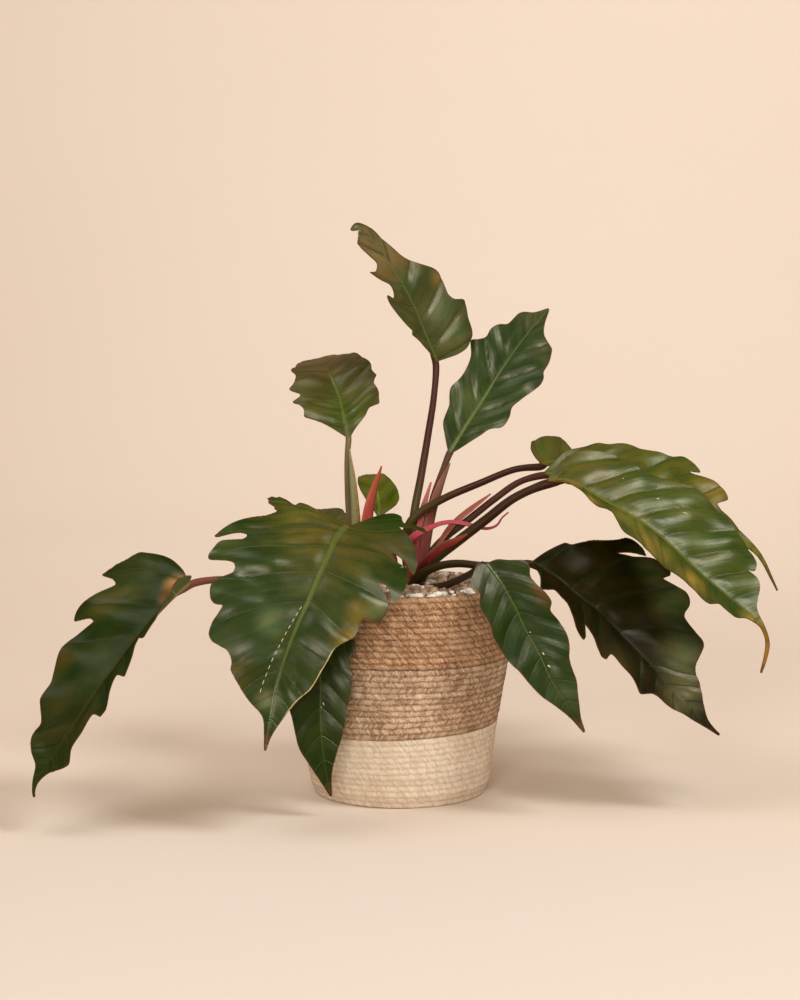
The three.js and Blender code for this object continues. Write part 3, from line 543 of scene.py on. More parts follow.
# A blade is cut flat, then bent, in millimetres.
# rib: where its midrib runs. face: where its upper side looks, from base to tip.
# bend: for the left and the right half, (lift, downward curl per 100 mm) in degrees, from base to tip.
# wave: (height, length, start) of the ripple that grows towards the margin.
# left, right: the margin of each half as (along, out), at each turn of it.
# ribWidth: half the rib's width at the base and at the tip.
# veins: for each half, (place on the rib, end along, end out), or one to each lobe where it isn't given.
# evenVeins: (first place on the rib, gap, reach along, reach out), the same on both halves.
# pleatScale: how high the swellings between the veins are. scars: from one flat point to another, width.
# tone, ribTone: colours at the base. patches: (along, out, reach, colour, amount) laid over the tone.
# gloss: shine of the whole blade, which rises over the stretch glossFrom. paleRim: where the edge is pale.
leafShapes = {
    "leaf_top": {
        "rib": [
            (35, 25, 401), (26, 20, 422), (10, 10, 459), (-9, 4, 491), (-26, 0, 515), (-36, -3, 525),
            (-40, -5, 526.6), (-45, -8, 522),
        ],
        "face": [(0.45, -0.85, 0.2), (0.45, -0.8, 0.3)],
        "bend": [[(22, 0), (25, 0), (20, 0)], [(20, 0), (22, 0), (20, 0)]],
        "wave": (1.5, 38, 0),
        "left": [(0, 2), (6, 3), (12, 5), (20, 9), (28, 13), (38, 20), (40, 17), (50, 24), (62, 30),
            (78, 35), (83, 31), (77, 24), (88, 18), (98, 26), (110, 33), (107, 25), (112, 18), (124, 22),
            (134, 23), (145, 18), (152, 8), (159, 1)],
        "right": [(0, 2), (-1, 10), (-2, 22), (0, 32), (8, 40), (25, 44), (34, 46), (43, 46), (48, 37),
            (54, 34), (65, 36), (72, 36), (78, 33), (88, 24), (95, 19), (103, 14), (112, 11), (120, 9),
            (130, 7), (139, 6), (149, 3), (159, 1)],
        "pleatScale": 1.9,
        "gloss": 1.3,
        "tone": "#404720",
        "ribTone": "#5a6134",
        "ribWidth": (1.3, 0.4),
        "patches": [
            # the pale grey-green patch at 40 along and -22 out is a painted sheen
            (120, 4, 60, "#675a38", 0.85), (70, -34, 15, "#7c6a34", 0.6), (40, -22, 30, "#566444", 0.8),
            (12, -22, 22, "#5a6840", 0.6), (78, 20, 22, "#4a4a24", 0.5), (84, -6, 20, "#3c4e28", 0.7),
        ],
        "veins": [
            [(8, 20, 9), (25, 46, 24), (57, 81, 31), (80, 110, 33), (114, 140, 20)],
            [(1, 4, 34), (15, 38, 44), (44, 68, 36), (79, 97, 19), (105, 129, 8)],
        ],
    },
    "leaf_upper_right": {
        "rib": [
            (47, 30, 316), (66, 38, 346), (80, 44, 367), (95, 50, 391), (110, 55, 412), (124, 60, 430),
            (137, 63, 445), (143, 64, 452),
        ],
        "face": [(0, -0.9, 0.4), (0.05, -0.85, 0.5)],
        "bend": [[(10, 0), (10, 5), (5, 10)], [(10, 0), (10, 5), (5, 10)]],
        "wave": (2, 44, 10),
        "left": [(0, 2), (3, 5), (12, 13), (21, 20), (38, 24), (46, 29), (53, 32), (66, 29), (78, 29),
            (90, 32), (101, 40), (106, 34), (112, 30), (121, 31), (129, 28), (134, 21), (147, 19),
            (152, 16), (157, 9), (169, 1)],
        "right": [(0, 2), (8, 7), (18, 12), (28, 17), (38, 22), (46, 31), (57, 32), (66, 29), (76, 32),
            (86, 36), (94, 39), (101, 41), (108, 40), (114, 36), (123, 35), (132, 32), (139, 28),
            (146, 14), (155, 7), (169, 1)],
        "gloss": 1.1,
        "tone": "#1f350c",
        "ribTone": "#627137",
        "ribWidth": (1.7, 0.5),
        "patches": [
            # the pale green patch at 50 along and 10 out is a painted sheen
            (50, 10, 30, "#536535", 0.5), (133, -22, 24, "#4a4614", 0.4), (155, 8, 22, "#4a4614", 0.5),
            (30, -20, 34, "#2a3d10", 0.7),
        ],
        "veins": [
            [(20, 51, 30), (50, 91, 33), (80, 109, 30), (107, 130, 28), (132, 151, 14)],
            [(18, 44, 29), (46, 86, 38), (82, 118, 34), (114, 141, 24), (142, 157, 6)],
        ],
    },
    "leaf_round_left": {
        "rib": [
            (-48, 0, 332), (-54, 8, 358), (-58, 15, 372), (-63, 24, 384), (-67, 36, 393),
            (-73, 54, 400), (-81, 80, 403), (-89, 105, 401),
        ],
        "face": [(-0.1, -0.9, 0.4), (-0.15, -0.5, 0.85), (-0.2, 0.1, 0.97)],
        "bend": [[(8, 10), (5, 20), (0, 30)], [(8, 10), (5, 20), (0, 30)]],
        "wave": (1.5, 30, 0),
        "left": [(0, 2), (6, 8), (18, 21), (28, 36), (35, 35), (42, 38), (50, 43), (53, 35), (56, 34),
            (62, 42), (67, 36), (76, 33), (86, 31), (98, 32), (110, 26), (124, 18), (138, 8), (149, 1)],
        "right": [(0, 2), (6, 8), (16, 20), (22, 25), (24, 35), (29, 36), (35, 37), (43, 35), (47, 37),
            (50, 40), (57, 38), (66, 39), (76, 37), (90, 34), (104, 28), (120, 20), (136, 9), (149, 1)],
        "tone": "#3d3c09",
        "ribTone": "#536117",
        "ribWidth": (1.5, 0.4),
        "patches": [
            (105, 0, 62, "#6a5634", 0.9), (20, 0, 42, "#3c4e08", 0.85), (40, 40, 24, "#4a4c14", 0.5),
        ],
    },
    "leaf_small_back": {
        "rib": [
            (-20, 45, 254), (-20, 48, 264), (-23, 55, 278), (-27, 70, 288), (-33, 95, 290),
        ],
        "face": [(0, -0.9, 0.4), (0, -0.3, 0.95)],
        "bend": [[(5, 10), (5, 10)], [(5, 10), (5, 10)]],
        "wave": (0.8, 30, 0),
        "left": [(0, 2), (6, 6), (13, 10), (22, 13), (30, 15), (42, 15), (54, 11), (64, 5), (70, 1)],
        "right": [(0, 2), (5, 9), (10, 17), (14, 20), (24, 20), (33, 17), (50, 12), (62, 6), (70, 1)],
        "tone": "#5a670c",
        "ribTone": "#758620",
        "ribWidth": (1.4, 0.4),
        "patches": [
            (55, 0, 32, "#75652a", 0.7),
        ],
    },
    "leaf_front": {
        "rib": [
            (-47, -88, 258), (-55, -98, 250), (-63, -112, 234), (-71, -125, 217), (-79, -138, 198),
            (-87, -150, 181), (-94, -160, 164), (-100, -170, 147), (-105, -178, 129), (-108, -184, 111),
            (-111, -187.8, 95), (-114, -189.7, 76),
        ],
        "face": [(0.1, -0.7, 0.7), (0.1, -0.9, 0.4)],
        "bend": [[(8, 30), (8, 30), (20, 0)], [(5, 10), (5, 12), (15, 5)]],
        "wave": (2, 46, 8),
        "left": [(-1, 2), (-12, 8), (-22, 13), (-32, 19), (-38, 25), (-39, 32), (-35, 36), (-33, 39),
            (-39, 48), (-43, 54), (-42, 60), (-38, 54), (-34, 48), (-29, 43), (-26, 38), (-25, 45),
            (-22, 54), (-18, 61), (-12, 68), (-5, 73), (4, 76), (4, 72), (1, 66), (-1, 59), (-1, 52),
            (1, 49), (4, 56), (10, 64), (20, 69), (32, 73), (42, 74), (52, 72), (61, 68), (53, 65),
            (47, 61), (44, 56), (45, 50), (49, 55), (55, 61), (64, 66), (74, 67), (81, 64), (83, 56),
            (83, 51), (88, 49), (95, 50), (103, 49), (112, 43), (120, 38), (132, 36), (145, 34),
            (156, 32), (166, 29), (183, 17), (200, 8), (212, 3), (223, 1)],
        "right": [(0, 2), (2, 24), (4, 40), (7, 47), (11, 49), (10, 58), (12, 69), (14, 73), (16, 66),
            (18, 58), (23, 65), (27, 75), (33, 85), (43, 93), (51, 97), (58, 99), (58, 96), (54, 91),
            (49, 85), (46, 79), (46, 74), (48, 73), (52, 75), (57, 85), (61, 92), (68, 95), (75, 97),
            (79, 95), (77, 87), (75, 79), (75, 74), (78, 71), (84, 71), (91, 76), (97, 81), (104, 83),
            (111, 81), (117, 77), (119, 72), (118, 66), (125, 67), (133, 69), (143, 68), (148, 63),
            (150, 55), (152, 48), (159, 42), (165, 41), (174, 31), (185, 20), (196, 7), (210, 3),
            (223, 1)],
        "scars": [(93 + 6.6 * k, -3.2 - 0.75 * k, 97 + 6.6 * k, -3.7 - 0.75 * k, 0.7) for k in range(13)],
        "tone": "#203507",
        "ribTone": "#57642c",
        "gloss": 1.2,
        "glossFrom": (20, 80),
        "paleRim": (112, 200),
        "ribWidth": (3.0, 0.5),
        "patches": [
            (15, -28, 62, "#5c5624", 0.75), (20, 25, 50, "#4e4a20", 0.75), (0, 52, 38, "#4a4424", 0.8),
            (62, 0, 45, "#484a1b", 0.6),
            (58, -88, 24, "#344614", 0.7), (80, 46, 20, "#75610e", 0.8),
            (110, 46, 20, "#8e7114", 0.85), (124, 30, 26, "#2c3208", 0.75),
            (165, -33, 24, "#50461a", 0.6), (150, 5, 50, "#26370b", 0.8), (219, 0, 15, "#6e3c22", 0.85),
            # the three pale grey-green patches on the next line are painted sheen
            (70, 58, 15, "#74724e", 0.7), (116, -22, 20, "#5c6c48", 0.75), (182, -7, 14, "#68704e", 0.7),
        ],
        "veins": [
            [(3, -42, 60), (24, 5, 75), (53, 61, 66), (86, 109, 51), (124, 134, 34), (152, 172, 22)],
            [(2, 15, 71), (10, 55, 99), (29, 74, 96), (57, 100, 83), (87, 131, 64), (128, 160, 40),
             (154, 179, 30)],
        ],
    },
    "leaf_left": {
        "rib": [
            (-189, -70, 205), (-201, -78, 195), (-214, -90, 182), (-226, -100, 169), (-238, -110, 154),
            (-248, -120, 140), (-258, -130, 127), (-277.5, -147, 98), (-298, -162, 66), (-306, -166, 55),
            (-311, -170, 47), (-313, -172, 39), (-312.2, -174, 34),
        ],
        "face": [(-0.4, -0.7, 0.65), (-0.3, -0.8, 0.4)],
        "bend": [[(75, 0), (42, 0), (32, 0), (24, 0), (18, 0)], [(12, 20), (10, 15), (10, 5)]],
        "wave": (2, 50, 0),
        "left": [(0, 2), (-3, 7), (0, 12), (6, 16), (12, 20), (20, 22), (27, 22), (33, 20), (42, 26),
            (56, 32), (76, 30), (76, 18), (74, 14), (84, 18), (98, 28), (118, 38), (117, 20), (131, 24),
            (148, 35), (155, 34), (155, 20), (171, 19), (187, 16), (200, 25), (212, 11), (226, 3),
            (239, 1)],
        "right": [(0, 2), (-5, 14), (-7, 40), (4, 64), (14, 69), (19, 75), (29, 83), (30, 67), (34, 60),
            (52, 65), (73, 71), (82, 66), (76, 52), (77, 47), (90, 53), (104, 56), (115, 55), (134, 48),
            (145, 43), (162, 40), (168, 36), (180, 28), (191, 29), (206, 21), (215, 8), (230, 2),
            (239, 1)],
        "gloss": 0.45,
        "tone": "#20300b",
        "ribTone": "#47441b",
        "ribWidth": (1.6, 0.4),
        "patches": [
            (8, -9, 15, "#a8824e", 0.95), (26, -5, 9, "#7c4e2a", 0.8),
            (34, -48, 40, "#3a4114", 0.7), (170, -13, 60, "#363313", 0.6), (14, -4, 16, "#6f4e16", 0.85),
            (60, -52, 24, "#474416", 0.6), (120, -50, 20, "#493c14", 0.6),
        ],
    },
    "leaf_front_low": {
        "rib": [
            (-55, -99, 175), (-62, -101, 157), (-67, -104, 144), (-70, -107, 131), (-70, -111, 114),
            (-70, -113, 92), (-69, -115, 71), (-65, -114, 39), (-61, -110, 18),
        ],
        "face": [(0.1, -0.95, 0.3), (0.1, -0.97, 0.2)],
        "bend": [[(10, 10), (10, 10), (15, 5)], [(8, 10), (8, 10), (15, 5)]],
        "wave": (1, 40, 0),
        "left": [(0, 2), (2, 8), (8, 17), (19, 24), (29, 23), (39, 26), (51, 28), (65, 27), (79, 24),
            (96, 21), (110, 17), (124, 11), (140, 5), (161, 1)],
        "right": [(0, 2), (2, 8), (8, 17), (20, 24), (30, 24), (44, 23), (60, 25), (79, 28), (87, 26),
            (97, 24), (113, 21), (128, 14), (146, 6), (161, 1)],
        "evenVeins": (8, 24, 34, 32),
        "pleatScale": 0.6,
        "scars": [(75, 2, 78, 3, 1.1), (79, 0, 80, 1, 1)],
        "tone": "#213407",
        "ribTone": "#53632b",
        "ribWidth": (1.1, 0.4),
        "patches": [
            (60, 0, 60, "#28380e", 0.6), (156, 0, 12, "#5c341a", 0.6),
        ],
    },
    "leaf_right_front": {
        "rib": [
            (136, -20, 293), (152, -25, 294), (165, -30, 289), (183, -36, 278), (205, -44, 266),
            (227, -52, 252), (248, -60, 234), (270, -68, 213), (289, -75, 197), (304, -80, 185),
            (315, -84, 176), (323, -88, 167), (327, -92, 154), (325, -95, 141), (320, -97, 125),
        ],
        "face": [(0.2, -0.55, 0.8), (0.3, -0.6, 0.7)],
        "bend": [[(18, 15), (18, 15), (15, 10)], [(18, 0), (18, 0), (14, 0)]],
        "wave": (2, 52, 0),
        "left": [(0, 2), (9, 18), (16, 31), (23, 42), (35, 51), (44, 54), (54, 53), (72, 51), (89, 58),
            (110, 67), (120, 67), (131, 66), (142, 68), (150, 68), (160, 62), (170, 59), (181, 57),
            (192, 55), (200, 50), (203, 42), (198, 39), (210, 35), (217, 28), (221, 18), (226, 9),
            (240, 3), (262, 2), (283, 1)],
        "right": [(0, 2), (6, 5), (14, 8), (22, 8), (32, 9), (40, 10), (50, 18), (60, 23), (66, 17),
            (71, 15), (82, 28), (93, 39), (106, 44), (120, 46), (133, 44), (146, 40), (160, 38),
            (175, 38), (186, 38), (192, 35), (196, 28), (199, 23), (210, 25), (219, 23), (227, 10),
            (240, 3), (262, 2), (283, 1)],
        "evenVeins": (8, 28, 34, 52),
        "pleatScale": 1.0,
        "scars": [(95, 30, 97, 32, 1.4), (118, 34, 122, 35, 1.3), (60, 30, 61, 31, 1.1)],
        "tone": "#35460e",
        "ribTone": "#686f28",
        "ribWidth": (1.7, 0.5),
        "patches": [
            (4, -3, 13, "#7a4a1c", 0.85), (24, -8, 15, "#9a6a28", 0.8), (50, -19, 15, "#a87e3a", 0.75),
            (35, 20, 52, "#5a5523", 0.65), (88, -10, 28, "#71702a", 0.6), (120, -30, 34, "#7e6e2e", 0.9),
            (170, -27, 28, "#80702c", 0.85), (264, 0, 42, "#a16d2a", 0.9), (229, -9, 18, "#a9953f", 0.7),
            (150, 25, 50, "#3f501e", 0.6), (112, 48, 36, "#626730", 0.5), (205, 20, 30, "#4b5723", 0.5),
        ],
    },
    "leaf_right_behind": {
        "rib": [
            (136, 18, 297), (165, 20, 295), (199, 21, 287), (237, 21, 272), (275, 20, 256),
            (307, 17, 241), (331, 14, 227), (341, 12, 215), (349, 10, 199), (354.8, 9, 187),
        ],
        "face": [(0.2, -0.6, 0.75), (0.3, -0.6, 0.7)],
        "bend": [[(10, 10), (10, 10), (10, 10)], [(10, 10), (10, 10), (10, 10)]],
        "wave": (1.5, 50, 0),
        "left": [(0, 2), (13, 17), (22, 28), (34, 37), (46, 46), (56, 46), (70, 54), (84, 58), (98, 61),
            (112, 61), (124, 69), (134, 67), (142, 60), (132, 54), (147, 54), (158, 52), (167, 46),
            (172, 38), (165, 27), (182, 17), (201, 7), (222, 3), (257, 1)],
        "right": [(0, 2), (8, 8), (18, 14), (30, 18), (40, 20), (50, 20), (62, 24), (74, 28), (84, 24),
            (94, 24), (106, 30), (116, 30), (124, 24), (132, 24), (142, 28), (152, 26), (160, 20),
            (168, 20), (176, 20), (188, 14), (202, 7), (222, 3), (257, 1)],
        "evenVeins": (14, 29, 34, 52),
        "pleatScale": 1.1,
        "tone": "#495110",
        "ribTone": "#666727",
        "ribWidth": (1.6, 0.4),
        "patches": [
            (163, 46, 32, "#846928", 0.7), (49, 37, 34, "#53531b", 0.6), (215, 0, 40, "#75762e", 0.6),
        ],
    },
    "leaf_right_far": {
        "rib": [
            (135, 52, 303), (152, 74, 304), (180, 100, 294), (220, 132, 280), (258, 156, 256),
            (280, 168, 236),
        ],
        "face": [(0.1, -0.5, 0.85), (0.3, -0.3, 0.9), (0.5, 0, 0.85)],
        "bend": [[(35, 0), (8, 10), (5, 10)], [(20, 0), (8, 10), (5, 10)]],
        "wave": (1.5, 45, 0),
        "left": [(0, 2), (-3, 8), (-3, 17), (5, 24), (16, 26), (34, 32), (54, 36), (68, 28), (88, 34),
            (106, 25), (130, 26), (150, 15), (172, 6), (200, 1)],
        "right": [(0, 2), (-3, 8), (-3, 13), (4, 15), (14, 13), (30, 26), (50, 30), (66, 26), (86, 32),
            (104, 24), (128, 25), (150, 15), (172, 6), (200, 1)],
        "tone": "#51510b",
        "ribTone": "#666920",
        "ribWidth": (1.6, 0.4),
        "patches": [
            (16, 14, 22, "#4c5a24", 0.7), (-2, -2, 12, "#844818", 0.75), (80, 0, 60, "#495717", 0.6),
        ],
    },
    "leaf_lower_right": {
        "rib": [
            (120, -45, 220), (132, -48, 213), (145, -52, 205), (159, -56, 193), (181, -62, 176),
            (203, -70, 154), (225, -78, 132), (243, -86, 110), (259, -92, 96), (272, -96, 83),
            (285, -98, 71),
        ],
        "face": [(0.1, -0.75, 0.65), (0.15, -0.85, 0.5)],
        "bend": [[(10, 12), (10, 12), (12, 5)], [(30, 0), (28, 0), (18, 0)]],
        "wave": (2, 48, 0),
        "left": [(0, 2), (5, 15), (15, 34), (21, 37), (33, 58), (46, 73), (60, 78), (70, 78), (74, 75),
            (66, 67), (56, 57), (68, 65), (79, 79), (91, 80), (94, 76), (92, 69), (110, 73), (118, 75),
            (124, 73), (128, 68), (131, 57), (145, 53), (152, 52), (157, 49), (167, 34), (176, 28),
            (185, 23), (199, 11), (214, 3), (229, 1)],
        "right": [(0, 2), (8, 7), (14, 13), (24, 34), (30, 26), (34, 20), (43, 21), (50, 23), (60, 35),
            (66, 42), (71, 46), (78, 48), (87, 48), (86, 43), (80, 36), (76, 31), (91, 35), (101, 43),
            (109, 48), (113, 46), (113, 34), (126, 33), (138, 32), (148, 34), (159, 37), (166, 21),
            (181, 18), (202, 10), (217, 4), (229, 1)],
        "gloss": 0.8,
        "glossFrom": (40, 120),
        # the near-black tone and rib tone are painted shade, as this leaf lies in the shadow of the leaf
        # above it
        "tone": "#1a1602",
        "ribTone": "#1e220a",
        "ribWidth": (1.4, 0.4),
        "patches": [
            # the pale grey-green patches at 114, 84, 156 and 182 along are a painted sheen over the lower
            # right half
            (114, 60, 34, "#4c5430", 0.8), (84, 70, 24, "#49502e", 0.6), (156, 28, 34, "#606a46", 0.8),
            (182, 4, 32, "#5c603c", 0.7), (118, -34, 28, "#3c3818", 0.7), (62, 20, 34, "#26240a", 0.6),
        ],
        "veins": [
            [(10, 26, 60), (42, 74, 76), (69, 105, 70), (101, 145, 52), (143, 178, 26)],
            None,
        ],
    },
    "leaf_low_right_front": {
        "rib": [
            (77, -88, 224), (89, -94, 208), (102, -100, 186), (112, -106, 165), (123, -112, 146),
            (133, -118, 125), (145, -122, 106), (153, -124, 92), (162, -125, 79),
        ],
        "face": [(0.1, -0.8, 0.6), (0.15, -0.9, 0.4)],
        "bend": [[(8, 15), (8, 15), (15, 5)], [(8, 20), (8, 20), (15, 5)]],
        "wave": (1, 44, 0),
        "left": [(0, 2), (2, 10), (9, 19), (16, 30), (22, 31), (29, 27), (38, 28), (47, 31), (55, 32),
            (61, 28), (75, 31), (88, 31), (97, 28), (106, 23), (130, 19), (141, 13), (160, 5), (172, 1)],
        "right": [(0, 2), (-5, 6), (1, 16), (6, 24), (10, 26), (20, 23), (30, 29), (40, 30), (52, 29),
            (63, 31), (74, 30), (88, 29), (101, 25), (113, 21), (125, 17), (143, 9), (157, 3), (172, 1)],
        "evenVeins": (8, 22, 30, 34),
        "pleatScale": 0.6,
        "scars": [(72, 2, 73, 3, 1.3), (93, 3, 96, 3.4, 1.5), (105, 2, 108, 4, 1.5)],
        "tone": "#1b3004",
        "ribTone": "#44541c",
        "ribWidth": (1.2, 0.4),
        "patches": [
            (45, 32, 20, "#562f17", 0.75), (14, 0, 32, "#20260a", 0.8), (132, 5, 32, "#3f4c28", 0.6),
            (83, 7, 24, "#303e2a", 0.5), (168, 0, 16, "#66481e", 0.7),
        ],
    },
    "leaf_left_far": {
        "rib": [
            (-51, 31, 246), (-67, 55, 248), (-89, 85, 250), (-103, 115, 247), (-115, 142, 240),
        ],
        "face": [(0, -0.3, 0.95), (-0.2, -0.2, 0.95)],
        "bend": [[(-10, 20), (0, 20)], [(8, 10), (5, 10)]],
        "wave": (1, 40, 0),
        "left": [(0, 2), (2, 10), (16, 19), (32, 17), (48, 21), (62, 16), (82, 16), (98, 9), (116, 4),
            (135, 1)],
        "right": [(0, 2), (2, 12), (14, 22), (30, 20), (46, 26), (62, 20), (80, 20), (98, 10), (116, 4),
            (135, 1)],
        "tone": "#494a16",
        "ribTone": "#687128",
        "ribWidth": (1.4, 0.4),
    },
}


# Stalks of each shoot, by leaf: route from inside the shoot to short of the blade, in mm, radius at each
# end, colours at the foot and at the top
stalkShapes = {
    "main_shoot": {
        "leaf_top": (
            [(11, 0, 195), (11, 3, 231), (13, 6, 258), (20, 12, 296), (27, 18, 337), (32, 23, 370)],
            (4.4, 2.8), ("#565a3c", "#4a3030"),
        ),
        "leaf_upper_right": (
            [(17, 3, 195), (22, 8, 230), (26, 15, 253), (32, 21, 276), (39, 26, 295)],
            (3.6, 2.8), ("#5a4034", "#5c4840"),
        ),
        "leaf_right_front": (
            [(14, -6, 196), (28, -11, 216), (51, -14, 234), (79, -17, 256), (106, -19, 277)],
            (5.2, 3.8), ("#3c3a1e", "#38231c"),
        ),
        "leaf_right_behind": (
            [(14, 2, 198), (37, 6, 232), (66, 10, 255), (89, 13, 273), (113, 16, 289)],
            (3.8, 3), ("#5a4a2c", "#4a2c2a"),
        ),
        "leaf_right_far": (
            [(10, 2, 196), (6, 2, 226), (6, -2, 242), (12, -3, 256), (37, 4, 272), (75, 21, 287),
             (110, 39, 299)],
            (4.2, 3), ("#4a4a28", "#3c2420"),
        ),
        "leaf_lower_right": (
            [(10, -6, 191), (19, -18, 205), (37, -30, 215), (54, -38, 218), (73, -44, 217),
             (96, -46, 217)],
            (4.2, 3), ("#3a3618", "#2e241c"),
        ),
        "leaf_low_right_front": (
            [(14, -9, 190), (26, -24, 193), (38, -38, 197), (51, -54, 204), (63, -68, 212)],
            (4, 3), ("#34301a", "#3a3028"),
        ),
    },
    "side_shoot": {
        "leaf_round_left": (
            [(-37, 8, 192), (-42, 4, 224), (-47, 1, 254), (-49, 0, 292), (-49, 0, 315)],
            (3.6, 2.4), ("#5a5a34", "#7a7052"),
        ),
        "leaf_small_back": (
            [(-35, 12, 192), (-27, 30, 223)],
            (2.8, 2), ("#6a5a30", "#6a5a30"),
        ),
        "leaf_left_far": (
            [(-41, 12, 192), (-45, 20, 224)],
            (2.8, 2), ("#5a4a28", "#5a4a28"),
        ),
        "leaf_front": (
            [(-36, 4, 192), (-40, -30, 235), (-43, -60, 251)],
            (4.6, 3.4), ("#5a4a28", "#5a4028"),
        ),
        "leaf_left": (
            [(-42, 4, 194), (-65, -14, 205), (-92, -30, 207), (-136, -50, 204), (-169, -62, 206)],
            (4.4, 3), ("#5a4a34", "#7a5048"),
        ),
        "leaf_front_low": (
            [(-38, 2, 194), (-44, -40, 207), (-49, -72, 208), (-52, -91, 202), (-55, -99, 188)],
            (3.2, 2.2), ("#4a3a24", "#4a3a24"),
        ),
    },
}


# Foot of each shoot: middle, radius, height of its top, colours at the bottom and at the top
shootShapes = {
    "main_shoot": ((13, -2), 13, 203, ("#4a3a2c", "#6a4a3c")),
    "side_shoot": ((-38, 8), 10, 200, ("#4a3a2c", "#6a5a3c")),
}


# Sheaths: route, where the outside looks, widths along it, finish of the part it stands in for,
# colours of the middle at the foot and at the tip, and of the left and the right edge
sheathShapes = {
    "sheath_red_upright": {
        "route": [(-33, 0, 196), (-31, -8, 240), (-29, -9, 264), (-24, -7, 284), (-17, -3, 305)],
        "face": (0.3, -0.9, 0.2),
        "widths": (8, 13, 12, 8, 1.5),
        "slot": "sheath_red",
        "tones": ("#b02f3c", "#a84a2a"),
        "sides": ("#c05038", "#6a2a24"),
    },
    "sheath_green": {
        "route": [(-42, 2, 196), (-41, -4, 245), (-42, -5, 268), (-44, -5, 292), (-47, -5, 321)],
        "face": (0.2, -0.95, 0),
        "widths": (8, 10.5, 9.5, 7, 1.5),
        "slot": "sheath_green",
        "tones": ("#8c8c58", "#84845a"),
        "sides": ("#46522c", "#b8803c"),
    },
    "sheath_orange_upright": {
        "route": [(20, -1, 196), (24, 2, 232), (28, 9, 255), (35, 15, 278), (47, 23, 306)],
        "face": (0.2, -0.95, 0.2),
        "widths": (8, 10, 11, 8, 1.5),
        "slot": "sheath_red",
        "tones": ("#8a3634", "#6e4a2a"),
        "sides": ("#b0605a", "#4a3a1e"),
    },
    "sheath_pink_upright": {
        "route": [(14, -6, 196), (16, -3, 232), (18, 1, 247), (21, 5, 262), (29, 10, 289)],
        "face": (-0.1, -0.95, 0.1),
        "widths": (5, 6, 6, 6, 1.5),
        "slot": "sheath_pink",
        "tones": ("#a83a40", "#b0564e"),
        "sides": ("#b86058", "#8a3c38"),
    },
    "sheath_orange_slant": {
        "route": [(32, -4, 226), (47, 0, 248), (68, 5, 266), (85, 11, 278)],
        "face": (-0.3, -0.7, 0.6),
        "widths": (3, 6.5, 6.5, 1.5),
        "slot": "sheath_red",
        "tones": ("#9a4a34", "#94402c"),
        "sides": ("#7a5a34", "#b06a48"),
    },
    "sheath_pink_curled": {
        "route": [(9, -9, 196), (8, -14, 234), (16, -14, 243), (27, -10, 248), (38, -6, 252),
            (51, -4, 253), (67, -4, 250), (81, -5, 247), (90, -5, 250), (95, -4, 257), (101, -3, 262)],
        "face": (0, -0.8, 0.6),
        "widths": (6, 8, 8, 7.5, 6.5, 5, 4.5, 4, 3, 2, 1.2),
        "slot": "sheath_pink",
        "tones": ("#b02c44", "#a8323e"),
        "sides": ("#b8465c", "#7c1c2c"),
    },
    "sheath_crimson": {
        "route": [(13, -12, 200), (24, -19, 217), (37, -21, 230), (51, -22, 237), (62, -21, 243)],
        "face": (0.3, -0.9, -0.2),
        "widths": (7, 9, 9, 8, 1.5),
        "slot": "sheath_red",
        "tones": ("#7e1424", "#a03a2e"),
        "sides": ("#6a4a2a", "#98203a"),
    },
    "sheath_dark_red": {
        "route": [(2, -10, 198), (-4, -14, 210), (-6, -16, 222), (-3, -15, 232)],
        "face": (0, -1, 0.1),
        "widths": (6, 8, 7, 1.5),
        "slot": "sheath_red",
        "tones": ("#701c1c", "#8a2c26"),
        "sides": ("#5a3020", "#7c2020"),
    },
}


# Stalks and shoots

# In mm, but for sides, rows and dome
stalkSettings = {
    "sides": 14,
    "step": 4,
    "tail": 16,  # how far a stalk runs on under its blade
    "foot": 150,  # height of a shoot's lower end, in the soil
    "stubSides": 24,
    "stubRows": 12,
    "domeRows": 8,
    "dome": 0.6,  # height of a shoot's rounded top, of its radius
    "rough": 0.05,
}


# Tube round frames of (centre, up, left, radius), closed at both ends
def makeTube(rings, sides):
    bm = makeSheet(len(rings), sides + 1, lambda i, j: ringPoint(rings[i], j / sides) * mm)
    bmesh.ops.remove_doubles(bm, verts=bm.verts, dist=1e-6)
    bmesh.ops.holes_fill(bm, edges=[e for e in bm.edges if e.is_boundary])
    bmesh.ops.recalc_face_normals(bm, faces=bm.faces)
    return bm


def ringPoint(ring, turn):
    centre, up, left, radius = ring
    angle = 2 * math.pi * turn
    return centre + (up * math.cos(angle) + left * math.sin(angle)) * radius


# Skin of a tube: its two tones mixed as far as toneAt says for each ring, and coordinates along and round it
def paintTube(obj, tones, toneAt, lengths, radius, sides):
    low, high = [colour(tone) for tone in tones]
    turns = [2 * math.pi * j / sides for j in range(sides + 1)]
    tint = [mixed(low, high, toneAt(i)) for i in range(len(lengths)) for _ in turns]
    flat = [(length, radius * math.cos(turn), radius * math.sin(turn))
            for length in lengths for turn in turns]
    writeAttribute(obj, "tint", tint)
    writeAttribute(obj, "flat", flat)


